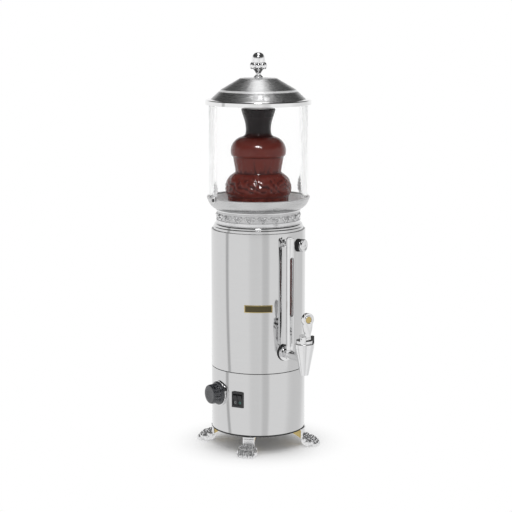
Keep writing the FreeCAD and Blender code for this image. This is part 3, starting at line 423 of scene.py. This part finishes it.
def grown_together(bm, voxel, soften, ripple, seed):
    """One closed skin round overlapping lumps, with an attribute of painted shade where it is
    recessed.
    """
    mesh = bpy.data.meshes.new("lumps")
    bm.to_mesh(mesh)
    bm.free()
    obj = bpy.data.objects.new("lumps", mesh)
    bpy.context.scene.collection.objects.link(obj)
    remesh = obj.modifiers.new("skin", "REMESH")
    remesh.mode = "VOXEL"
    remesh.voxel_size = voxel * mm
    smooth = obj.modifiers.new("soften", "SMOOTH")
    smooth.iterations = soften
    smooth.factor = 0.5
    evaluated = obj.evaluated_get(bpy.context.evaluated_depsgraph_get())
    skin = bmesh.new()
    skin.from_mesh(bpy.data.meshes.new_from_object(evaluated))
    bpy.data.objects.remove(obj)
    skin.normal_update()
    shift = Vector((seed * 13.7, seed * 5.1, seed * 3.3))
    for vert in skin.verts:
        vert.co += vert.normal * ripple * mm * noise.noise(vert.co * 420 + shift)
    # Painted shade in the recesses of the cast form.
    mark_hollows(skin, reach=0.34 * voxel * mm)
    return skin


def mark_hollows(bm, reach):
    """Writes an attribute of painted shade: 1 where the surface lies well inside its neighbourhood.
    """
    bm.normal_update()
    layer = bm.verts.layers.float.new("hollow_shade")
    smoothed = {v: v.co.copy() for v in bm.verts}
    for _ in range(3):
        smoothed = {v: sum((smoothed[e.other_vert(v)] for e in v.link_edges), Vector())
                    / len(v.link_edges) for v in bm.verts}
    for vert in bm.verts:
        depth = (smoothed[vert] - vert.co).dot(vert.normal)
        vert[layer] = min(1.0, max(0.0, depth / reach))


def mark_ground(bm, radius, proud, low, high, ground_share=0.35):
    """Writes painted shade on a ring as an attribute: the share on its ground, fading to 0 up the
    relief.
    """
    layer = bm.verts.layers.float.new("hollow_shade")
    for vert in bm.verts:
        rise = math.hypot(vert.co.x, vert.co.y) / mm - radius
        if low < vert.co.z / mm < high:
            vert[layer] = ground_share * min(1.0, max(0.0, 1.0 - rise / proud))


# Feet

def paw():
    """Cast paw at the front: ankle plate, tufts above the ankle, pad, four toes and their claws."""
    bm = bmesh.new()
    slab(bm, (0, -93.6, 24.0), (23.6, 4.6, 23.6))
    slab(bm, (0, -84.0, 34.0), (23.6, 25.6, 3.6))
    lump(bm, (0, -103.5, 8), (15.5, 13, 10.5))
    for side in (-1, 1):
        lump(bm, (side * 8.6, -99.8, 15), (4.4, 5.0, 7.6), (0, side * 12, 0))
        lump(bm, (side * 13.6, -101, 11), (4.6, 6.4, 8.0), (0, side * 18, 0))
        lump(bm, (side * 3.9, -102, 16.5), (3.9, 5.4, 6.6), (18, side * -8, 0))
        lump(bm, (side * 15.6, -105, 7.5), (4.6, 8.0, 6.8), (0, 0, side * 24))
    spread = (-13.6, -4.7, 4.7, 13.6)
    for i, x in enumerate(spread):
        reach = 3.0 if i in (0, 3) else 0.0
        fan = x * 1.6
        lump(bm, (x * 0.78, -110.5 + reach, 13.6 - abs(x) * 0.10), (4.9, 8.0, 5.6),
             (-24, 0, -fan * 0.4))
        lump(bm, (x * 0.97, -118.3 + reach, 8.8), (5.2, 5.6, 5.6))
        lump(bm, (x * 1.05, -123.2 + reach, 4.9), (4.3, 4.6, 4.8))
        lump(bm, (x * 1.07, -126.6 + reach, 2.7), (1.7, 3.0, 2.4), (-20, 0, 0))
    return bm


def feet():
    """Four copies of the paw, cut flat just over the ground."""
    sole_height = 0.1 * mm
    master = grown_together(paw(), voxel=0.75, soften=5, ripple=0.22, seed=1)
    ground = bmesh.ops.bisect_plane(
        master, geom=master.verts[:] + master.edges[:] + master.faces[:],
        plane_co=(0, 0, sole_height), plane_no=(0, 0, -1), clear_outer=True)
    rim = [e for e in ground["geom_cut"] if isinstance(e, bmesh.types.BMEdge)]
    bmesh.ops.holes_fill(master, edges=rim, sides=0)
    for name, azimuth in foot_azimuth.items():
        copy = master.copy()
        piece(turn(copy, azimuth), name + "_paw", "machine", "cast_silver", name, limit=60)
    master.free()


# Frieze

def leaf(bm, length, width, thick, matrix):
    """Pointed leaf with a raised midrib, lying in X along its length and rising in Z."""
    made = bmesh.ops.create_grid(bm, x_segments=10, y_segments=6, size=0.5)
    for vert in made["verts"]:
        t, across = vert.co.x + 0.5, vert.co.y * 2
        half = 0.5 * width * math.sin(math.pi * min(1.0, t * 0.96 + 0.04)) ** 0.7
        swell = math.sin(math.pi * min(t * 0.9 + 0.1, 1)) ** 0.5
        rise = thick * (1 - 0.75 * across * across) * swell
        rib = 0.30 * thick * max(0.0, 1 - abs(across) * 5)
        notch = 1.0 - 0.16 * abs(across) * (0.5 + 0.5 * math.cos(t * 22))
        vert.co = matrix @ Vector((t * length, across * half * notch, rise + rib - 0.25 * thick))


def on_ring(radius, azimuth, height, spin=0.0):
    """Matrix that lays a flat shape on an upright ring: its X along the ring, Y up, Z outward."""
    a = math.radians(azimuth)
    along = Vector((math.cos(a), math.sin(a), 0))
    out = Vector((math.sin(a), -math.cos(a), 0))
    basis = Matrix((along, Vector((0, 0, 1)), out)).transposed().to_4x4()
    place = Matrix.Translation(out * radius * mm + Vector((0, 0, height * mm)))
    return place @ basis @ Matrix.Rotation(math.radians(spin), 4, "Z") @ Matrix.Scale(mm, 4)


def frieze():
    """Cast ring: garland of slanted leaves over round arches, above a plain band."""
    low, high, r = frieze_low / mm, frieze_high / mm, frieze_r / mm
    back = r - 1.6
    band = low + 7.5
    garland = high - 8.6
    outline = [
        (r - 8, low), (r, low), (r, low), (r + 0.2, low + 0.6), (r + 0.2, low + 0.6),
        (r - 0.1, band - 1.8), (r - 0.1, band - 1.8), (r + 0.5, band - 1.2), (r + 0.5, band - 0.5),
        (back, band), (back, band), (back, high - 3.4), (back, high - 3.4), (r + 0.3, high - 2.9),
        (r + 0.9, high - 2.2), (r + 1.0, high - 0.6), (r + 0.7, high), (r - 8, high), (r - 8, low)]
    bm = spun(outline, 240)
    count = 20
    step = 360.0 / count
    for i in range(count):
        middle = i * step
        for side, lean in ((-1, 205), (1, -25)):
            place = on_ring(back, middle + side * 0.16 * step, garland, lean + side * 8)
            leaf(bm, 11.6, 6.8, 2.9, place)
        leaf(bm, 8.0, 4.4, 2.5, on_ring(back, middle + 0.14 * step, garland, -78))
        leaf(bm, 8.0, 4.4, 2.5, on_ring(back, middle - 0.14 * step, garland, -102))
        leaf(bm, 6.6, 3.8, 2.4, on_ring(back, middle + 0.5 * step, band + 0.6, 90))
        for x, z in ((0.5, 6.4), (0.42, 5.0), (0.58, 5.0)):
            bmesh.ops.create_uvsphere(bm, u_segments=8, v_segments=6, radius=1.05,
                                      matrix=on_ring(back + 0.4, middle + x * step, band + z))
        arch(bm, back, middle, band + 0.4, 0.36 * step, 8.2)
    # Painted shade on the ground between the leaves and arches.
    mark_ground(bm, back, 1.0, band - 0.05, high - 3.35)
    piece(bm, "frieze_relief", "machine", "cast_silver", "frieze_ring", limit=50)


def arch(bm, radius, azimuth, foot, half_angle, height):
    """Rounded rib in the shape of an arch on the ring."""
    steps, around = 14, 6
    matrix = on_ring(radius + 0.1, azimuth, foot)
    half = math.radians(half_angle) * radius
    made = bmesh.ops.create_grid(bm, x_segments=steps, y_segments=around, size=0.5)
    for vert in made["verts"]:
        t = math.pi * (vert.co.x + 0.5)
        u = math.pi * (vert.co.y + 0.5)
        across = 0.75 * math.cos(u)
        vert.co = matrix @ Vector(((half + across) * math.cos(t), (height + across) * math.sin(t),
                                   1.1 * math.sin(u)))


# Fountain

def fountain():
    """Melted chocolate: crown, two bells and the curtains that fall from their lips."""
    top = crown_top / mm
    outline = softened([
        (0, top - 1.9), (0, top - 1.9), (24, top - 1.8), (30.5, top - 0.9), (33.8, top - 1.2),
        (34.2, top - 4.5), (31.6, top - 13), (27.8, top - 24), (25.6, top - 33), (25.0, top - 43),
        (25.4, top - 51), (28.9, top - 56.6), (36.4, top - 58.2), (43.2, top - 61.8),
        (48.9, top - 67.0), (53.0, top - 73.4), (55.2, top - 80.8), (55.4, top - 88.5),
        (54.6, top - 93.5), (52.8, top - 95.8), (51.0, top - 96.6), (50.6, top - 99),
        (49.4, top - 107), (47.4, top - 118), (46.0, top - 126.5), (46.6, top - 129.4),
        (50.0, top - 131), (57.5, top - 136.5), (63.2, top - 146), (65.9, top - 157),
        (66.1, top - 164.5), (64.6, top - 170.5), (62.9, top - 173.4), (61.6, top - 174.6),
        (61.4, top - 178), (61.2, top - 188), (61.0, top - 198.4), (61.0, top - 198.4),
        (40, top - 198.4)], 2)
    bm = spun(outline, 288)
    for vert in bm.verts:
        flow_ripple(vert, top)
    # Painted shade in the troughs of the ripples.
    mark_hollows(bm, reach=0.00009)
    return piece(bm, "chocolate_fall", "machine", "chocolate", "chocolate_flow", limit=75)


def flow_ripple(vert, top):
    """Moves one point of the chocolate by its height and its place round the fountain.

    Each drop is a depth below the crown's top, in millimetres.
    """
    crown_lip, fall_end = 3, 197
    upper_bell_top, upper_fall_top = 55, 97
    lower_bell_top, lower_bell_foot, lower_fall_top = 128, 172, 173
    upper_lip, lower_lip, fade = 95, 172, 8
    z = vert.co.z / mm
    a = math.atan2(vert.co.x, -vert.co.y)
    out = Vector((math.sin(a), -math.cos(a), 0.0))
    spot = Vector((math.sin(a) * 2.0, math.cos(a) * 2.0, z * 0.02))
    drop = top - z
    if drop < crown_lip or drop > fall_end:
        return
    wave = 0.0
    if lower_bell_top < drop < lower_bell_foot:
        share = math.sin(math.pi * (drop - lower_bell_top) / (lower_bell_foot - lower_bell_top))
        place = Vector((math.sin(a) * 3.2, math.cos(a) * 3.2, z * 0.05))
        slant = noise.noise(place + Vector((z * 0.03, 0, 0)))
        wave = share * (0.75 * math.sin(17 * a + z * 0.42 + 5.0 * slant) + 0.6 * slant
                        + 0.35 * math.sin(31 * a - z * 0.30 + 6.0 * slant))
    elif drop > lower_fall_top:
        grown = min(1.0, (drop - lower_fall_top) / fade)
        wave = 0.30 * math.sin(24 * a + 3.0 * noise.noise(spot * 1.4)) * grown
    elif upper_fall_top < drop <= lower_bell_top:
        grown = min(1.0, (drop - upper_fall_top) / fade)
        wave = 0.22 * math.sin(19 * a + 3.0 * noise.noise(spot * 1.7)) * grown
    elif drop > upper_bell_top:
        wave = 0.16 * noise.noise(spot * 3)
    vert.co += out * wave * mm
    if abs(drop - upper_lip) < 4 or abs(drop - lower_lip) < 5:
        ring = Vector((math.sin(a) * 5, math.cos(a) * 5, round(drop / 40)))
        vert.co.z += 0.55 * mm * noise.noise(ring)


# Lid and finial

def lid():
    """Brushed cones with a soft bright step, painted light by a paler copy of the steel, and a
    polished rim, and the finial with its petals.
    """
    obj = dressed("lid_shell", edge=0.35, limit=20)
    obj.data.materials.append(polished_lip)
    obj.data.materials.append(painted_light_steel)
    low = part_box("lid_shell")[0].z / mm
    step_low, step_high, rim_high, rim_inner = low + 24.6, low + 30.5, low + 9.2, 94.5
    for poly in obj.data.polygons:
        z, radius = poly.center.z / mm, math.hypot(poly.center.x, poly.center.y) / mm
        # The step's upward faces take the paler steel: painted light.
        if step_low < z < step_high and poly.normal.z > 0.05:
            poly.material_index = 2
        elif (poly.normal.z > 0.2 and radius > rim_inner) or z < rim_high:
            poly.material_index = 1
    base = lid_top / mm
    knob = softened([
        (0, base - 12), (0, base - 12), (3, base - 12), (3, base - 12), (3, base), (3, base),
        (10.2, base), (10.2, base), (10.2, base + 1.6), (8.6, base + 3.2), (5.6, base + 6.0),
        (5.4, base + 9), (6.6, base + 12.5), (9.4, base + 16), (12.2, base + 19.5),
        (13.0, base + 24), (12.2, base + 28), (12.2, base + 30), (13.4, base + 31.4),
        (13.6, base + 36.4), (12.8, base + 42.2), (9.8, base + 47.4), (5.2, base + 50.3),
        (0, base + 51), (0, base + 51)], 2)
    bm = spun(knob, 96)
    for i in range(8):
        a = math.radians(i * 45 + 12)
        out = Vector((math.sin(a), -math.cos(a), 0)) * 12.4
        lump(bm, (out.x, out.y, base + 24.6), (5.6, 4.9, 7.2), (-12, 0, math.degrees(a)))
    piece(bm, "finial_knob", "lid", "chrome", "lid_finial", material=bright_casting,
          limit=50)


# Glass clips

def clip(side, azimuth):
    """Pierced leaf of cast lobes against the glass, on a lug with a dark screw."""
    bm = bmesh.new()
    r = glass_r / mm + 1.75
    foot = tray_top / mm - 7.5
    lobes = ((3.6, 15, 2.5, 4.2, 38), (4.6, 21.5, 2.6, 4.4, 42),
             (4.2, 28, 2.4, 4.0, 38), (2.8, 34, 1.9, 3.4, 30))
    slab(bm, (0, -104.9, foot + 6.0), (7.2, 2.2, 12.5))
    lump(bm, (0, -r, foot + 24), (1.5, 1.2, 19.5))
    for x, z, wide, high, lean in lobes:
        for flip in (-1, 1):
            lump(bm, (flip * x, -r, foot + z), (wide, 1.25, high), (0, flip * lean, 0))
    for z in (18.5, 25, 31.5, 40.5):
        lump(bm, (0, -r - 0.5, foot + z), (1.7, 1.2, 1.9))
    skin = grown_together(bm, voxel=0.42, soften=1, ripple=0.12, seed=3)
    piece(turn(skin, azimuth), "glass_clip_leaf_" + side, "machine", "cast_silver",
          "glass_clip_" + side, limit=60)


# Controls

def rocker_marks():
    """Bar and ring on each rocker, moving with it."""
    a = math.radians(switch_azimuth)
    out = Vector((math.sin(a), -math.cos(a), 0))
    mark_rise, bar, ring_r, ring_growth = 5.6, (0.9, 3.8, 0.35), 1.55, 1.5
    for body, colour in (("rocker_left", pale_mark), ("rocker_right", green_mark)):
        low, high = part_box(body)
        middle = (low + high) / 2
        for rise, kind in ((mark_rise, "bar"), (-mark_rise, "ring")):
            face = face_point(body, middle + Vector((0, 0, rise * mm)), out)
            bm = bmesh.new()
            if kind == "bar":
                slab(bm, (0, 0, 0.05), bar)
            else:
                ring = bmesh.ops.create_circle(bm, segments=28, radius=ring_r, cap_ends=False)
                edges = list({e for v in ring["verts"] for e in v.link_edges})
                grown = bmesh.ops.extrude_edge_only(bm, edges=edges)["geom"]
                verts = [g for g in grown if isinstance(g, bmesh.types.BMVert)]
                bmesh.ops.scale(bm, vec=(ring_growth, ring_growth, 1.0), verts=verts)
                bmesh.ops.solidify(bm, geom=bm.faces[:], thickness=0.3)
            bmesh.ops.transform(bm, matrix=face @ Matrix.Scale(mm, 4), verts=bm.verts)
            bmesh.ops.recalc_face_normals(bm, faces=bm.faces)
            piece(bm, body + "_" + kind, body, "black_plastic", material=colour)


def face_point(node, near, out):
    """Matrix on the node's surface where a line from outside along out meets it."""
    bm = bmesh.new()
    bm.from_mesh(nodes[node].data)
    place, normal, _, _ = BVHTree.FromBMesh(bm).ray_cast(near + out * 0.05, -out)
    bm.free()
    across = Vector((0, 0, 1)).cross(normal).normalized()
    up = normal.cross(across)
    basis = Matrix((across, up, normal)).transposed().to_4x4()
    return Matrix.Translation(place + normal * 0.02 * mm) @ basis


def label_field():
    """Dark bare field inside the label's bright border."""
    low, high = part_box("label_plate")
    middle = (low.z + high.z) / 2 / mm
    width, height, thick = 53.0, 12.2, 0.25
    radius = body_r / mm + 1.0
    bm = bmesh.new()
    bmesh.ops.create_grid(bm, x_segments=40, y_segments=2, size=0.5)
    for vert in bm.verts:
        a = math.radians(label_azimuth) + vert.co.x * width / radius
        vert.co = Vector((math.sin(a), -math.cos(a), 0)) * radius * mm + Vector(
            (0, 0, (middle + vert.co.y * height) * mm))
    bmesh.ops.recalc_face_normals(bm, faces=bm.faces)
    outward = sum(f.normal.to_2d().dot(f.calc_center_median().to_2d()) for f in bm.faces)
    if outward < 0:
        bmesh.ops.reverse_faces(bm, faces=bm.faces)
    bmesh.ops.solidify(bm, geom=bm.faces[:], thickness=-thick * mm)
    bmesh.ops.recalc_face_normals(bm, faces=bm.faces)
    piece(bm, "label_field", "machine", "brass", material=dark_label)


def bezel_mark():
    """Short dark pointer let into the thermostat's bezel."""
    bm = bmesh.new()
    slab(bm, (0, 0, 0), (2.2, 3.2, 0.5))
    bezel_face, pointer_turn, pointer_reach = body_r / mm + 3.0, -75, 24.6
    matrix = (on_ring(bezel_face, knob_azimuth, knob_height, pointer_turn)
              @ Matrix.Translation((0, pointer_reach, 0)))
    bmesh.ops.transform(bm, matrix=matrix, verts=bm.verts)
    piece(bm, "bezel_pointer", "machine", "black_plastic")


def badge_ring():
    """Raised ring round the lever's bare disc, and the disc's slightly crowned face."""
    low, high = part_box("lever_badge")
    centre = (low + high) / 2
    rim = softened([(6.7, -0.2), (6.7, -0.2), (6.7, 0.8), (7.8, 1.3), (8.9, 0.8), (8.9, -0.2),
                    (8.9, -0.2)], 2)
    disc = [(0, 1.0), (3.0, 0.95), (5.0, 0.8), (6.4, 0.55), (6.4, -0.6), (0, -0.6)]
    forward = Matrix.Rotation(math.radians(90), 3, "X")
    for name, slot, outline, replaced in (
            ("badge_rim", "chrome", rim + rim[:1], ()),
            ("badge_disc", "brass", disc, ("lever_badge",))):
        bm = spun(outline, 64)
        bmesh.ops.rotate(bm, verts=bm.verts, cent=(0, 0, 0), matrix=forward)
        bmesh.ops.translate(bm, verts=bm.verts, vec=(centre.x, low.y + 0.4 * mm, centre.z))
        bmesh.ops.recalc_face_normals(bm, faces=bm.faces)
        piece(bm, name, "tap_lever", slot, *replaced)


# Dressing

softened_edges = {
    "top_flange": 0.5, "tray_bowl": 0.4, "tap_body": 0.35, "tap_nut": 0.5, "tap_bonnet": 0.5,
    "tap_lever": 1.1, "gauge_guard": 0.3, "gauge_top_fitting": 0.5, "gauge_nut": 0.4,
    "filler_cap": 0.3, "cap_gasket": 0.4, "knob_bezel": 0.6, "thermostat_knob": 0.5,
    "switch_housing": 0.35, "rocker_left": 0.3, "rocker_right": 0.3, "label_plate": 0.15,
    "cable_gland": 0.4, "glass_cylinder": 0.6, "leg_bolts": 0.3, "clip_screws": 0.25,
    "upper_casing": 0.25, "lower_casing": 0.25, "leg_brackets": 0.3,
}


plain_copies = ("seam_gasket", "base_trim", "tap_gasket", "gauge_glass", "gauge_chocolate",
                "filler_neck", "lever_pin", "base_plate")


def dress_nodes():
    """Finishes every node and puts a merged copy with softened edges over those that show."""
    for name, obj in nodes.items():
        mat = finishes[node_slot[name]]
        if not obj.material_slots:
            obj.data.materials.append(mat)
        for slot in obj.material_slots:
            slot.material = mat
    copies = {name: dressed(name, edge, 20 if name in ("tray_bowl", "top_flange") else 32)
              for name, edge in softened_edges.items()}
    dress_tray(copies["tray_bowl"])
    dress_bonnet(copies["tap_bonnet"])
    for name in plain_copies:
        dressed(name)


def dress_tray(tray):
    """Softer, paler steel on the upward faces inside the glass: painted light on the tray floor."""
    tray.data.materials.append(painted_light_steel)
    inside = glass_r - 3 * mm
    for poly in tray.data.polygons:
        if poly.normal.z > 0.2 and math.hypot(poly.center.x, poly.center.y) < inside:
            poly.material_index = 1


def dress_bonnet(bonnet):
    """Chrome round the bonnet, with its upper face and the right lug left black."""
    bonnet.data.materials.append(finishes["chrome"])
    lug_rise = 15 * mm
    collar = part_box("tap_bonnet")[1].z - lug_rise
    for poly in bonnet.data.polygons:
        crown = poly.normal.z > 0.5 and poly.center.z < collar + 7 * mm
        lug = poly.center.z > collar + 6.2 * mm and poly.center.x > 0
        poly.material_index = 0 if crown or lug else 1


# Floor, light and camera

def stage_floor():
    """Pale floor that keeps the shadow near the feet and is plain white beyond it."""
    half_width, drop = 30.0, 0.2 * mm
    bm = bmesh.new()
    bmesh.ops.create_grid(bm, x_segments=1, y_segments=1, size=half_width)
    bmesh.ops.translate(bm, verts=bm.verts, vec=(0, 0, -drop))
    mesh = bpy.data.meshes.new("floor")
    bm.to_mesh(mesh)
    bm.free()
    floor = bpy.data.objects.new("floor", mesh)
    bpy.context.scene.collection.objects.link(floor)
    mat = bpy.data.materials.new("pale_floor")
    mat.use_nodes = True
    tree = mat.node_tree
    matt = tree.nodes["Principled BSDF"]
    matt.inputs["Base Color"].default_value = (0.95, 0.95, 0.95, 1)
    matt.inputs["Roughness"].default_value = 0.9
    matt.inputs["Specular IOR Level"].default_value = 0.0
    path = tree.nodes.new("ShaderNodeLightPath")
    glow = tree.nodes.new("ShaderNodeEmission")
    glow.inputs["Strength"].default_value = 1.0
    either = tree.nodes.new("ShaderNodeMixShader")
    seen = math_node(tree, "MAXIMUM", path.outputs["Is Camera Ray"],
                     path.outputs["Is Transmission Ray"])
    away = tree.nodes.new("ShaderNodeVectorMath")
    away.operation = "LENGTH"
    link(tree, tree.nodes.new("ShaderNodeTexCoord").outputs["Object"], away.inputs[0])
    far = smooth_step(tree, away.outputs["Value"], shadow_end, white_start)
    link(tree, math_node(tree, "MULTIPLY", seen, far), either.inputs["Fac"])
    link(tree, matt.outputs[0], either.inputs[1])
    link(tree, glow.outputs[0], either.inputs[2])
    link(tree, either.outputs[0], tree.nodes["Material Output"].inputs["Surface"])
    mesh.materials.append(mat)
    floor.visible_glossy = False


def dark_card(tree, direction, azimuth, inner, outer, depth):
    """Share of light that a tall grey card beside the object takes from the room."""
    a = math.radians(azimuth)
    dot = tree.nodes.new("ShaderNodeVectorMath")
    dot.operation = "DOT_PRODUCT"
    link(tree, direction, dot.inputs[0])
    dot.inputs[1].default_value = (math.sin(a), -math.cos(a), 0.0)
    near = smooth_step(tree, dot.outputs["Value"], math.cos(math.radians(outer)),
                       math.cos(math.radians(inner)))
    return math_node(tree, "SUBTRACT", 1.0, math_node(tree, "MULTIPLY", near, depth))


def room_light():
    """White room; polished metal also sees a few tall grey cards and a dark ceiling."""
    world = bpy.data.worlds.new("room")
    bpy.context.scene.world = world
    world.use_nodes = True
    tree = world.node_tree
    path = tree.nodes.new("ShaderNodeLightPath")
    place = tree.nodes.new("ShaderNodeTexCoord").outputs["Generated"]
    flat = tree.nodes.new("ShaderNodeVectorMath")
    flat.operation = "MULTIPLY"
    link(tree, place, flat.inputs[0])
    flat.inputs[1].default_value = (1, 1, 0)
    level = tree.nodes.new("ShaderNodeVectorMath")
    level.operation = "NORMALIZE"
    link(tree, flat.outputs[0], level.inputs[0])
    split = tree.nodes.new("ShaderNodeSeparateXYZ")
    link(tree, place, split.inputs[0])
    room = room_level
    for card in grey_cards:
        room = math_node(tree, "MULTIPLY", dark_card(tree, level.outputs[0], *card), room)
    high = smooth_step(tree, split.outputs[2], ceiling_low, ceiling_high)
    under = math_node(tree, "MULTIPLY_ADD", high, -ceiling_share, 1.0)
    room = math_node(tree, "MULTIPLY", room, under)
    metal = path.outputs["Is Glossy Ray"]
    matt = math_node(tree, "SUBTRACT", 1.0, metal)
    lit = math_node(tree, "ADD", math_node(tree, "MULTIPLY", metal, room),
                    math_node(tree, "MULTIPLY", matt, matt_level))
    seen = math_node(tree, "MAXIMUM", path.outputs["Is Camera Ray"],
                     path.outputs["Is Transmission Ray"])
    unseen = math_node(tree, "SUBTRACT", 1.0, seen)
    strength = math_node(tree, "ADD", seen, math_node(tree, "MULTIPLY", unseen, lit))
    background = tree.nodes["Background"]
    background.inputs["Color"].default_value = (1, 1, 1, 1)
    link(tree, strength, background.inputs["Strength"])


def from_axis(azimuth, elevation, distance, height):
    """Point at an azimuth and elevation, both in degrees, from a point on the axis."""
    a, e = math.radians(azimuth), math.radians(elevation)
    way = Vector((math.sin(a) * math.cos(e), -math.cos(a) * math.cos(e), math.sin(e)))
    return way * distance + Vector((0, 0, height))


def soft_box(name, azimuth, elevation, distance, wide, high, watts, aim=0.4, receivers=()):
    """Soft lamp facing the axis. With receivers, it only makes highlights, and only on those."""
    lamp = bpy.data.lights.new(name, "AREA")
    lamp.shape = "RECTANGLE"
    lamp.size, lamp.size_y = wide, high
    lamp.energy = watts
    obj = bpy.data.objects.new(name, lamp)
    bpy.context.scene.collection.objects.link(obj)
    if receivers:
        obj.visible_diffuse = False
        lit = bpy.data.collections.new(name + "_receivers")
        for receiver in receivers:
            lit.objects.link(receiver)
        obj.light_linking.receiver_collection = lit
    obj.location = from_axis(azimuth, elevation, distance, aim)
    facing = Vector((0, 0, aim)) - obj.location
    obj.rotation_euler = facing.to_track_quat("-Z", "Y").to_euler()


def lights_and_camera(chocolate):
    """Room, lamps, and a camera at the machine's left front that looks down on it a little."""
    room_light()
    soft_box("key", -34, 48, 2.4, 0.5, 0.5, 7.5, aim=0.6)
    soft_box("glint", -34, 41, 2.4, 0.8, 0.7, 95, aim=0.6, receivers=[chocolate])
    soft_box("overhead", 147, 70, 2.6, 0.7, 1.1, 4.6)
    soft_box("zenith", -10, 83, 2.6, 0.8, 0.8, 7.5)
    camera = bpy.data.cameras.new("camera")
    camera.sensor_width = sensor_width
    camera.lens = sensor_width * focal_pixels / image_pixels
    view = bpy.data.objects.new("camera", camera)
    bpy.context.scene.collection.objects.link(view)
    flat = camera_distance * math.cos(camera_pitch)
    out = Vector((math.sin(camera_azimuth), -math.cos(camera_azimuth), 0))
    right = Vector((math.cos(camera_azimuth), math.sin(camera_azimuth), 0))
    view.location = out * flat + Vector((0, 0, camera_height)) - right * aim_left
    target = Vector((0, 0, aim_height)) - right * aim_left
    view.rotation_euler = (target - view.location).to_track_quat("-Z", "Y").to_euler()
    bpy.context.scene.camera = view


def build():
    dress_nodes()
    feet()
    frieze()
    chocolate = fountain()
    lid()
    clip("left", -90)
    clip("right", 90)
    rocker_marks()
    label_field()
    bezel_mark()
    badge_ring()
    stage_floor()
    lights_and_camera(chocolate)
    bpy.context.scene.view_settings.view_transform = "Standard"


build()
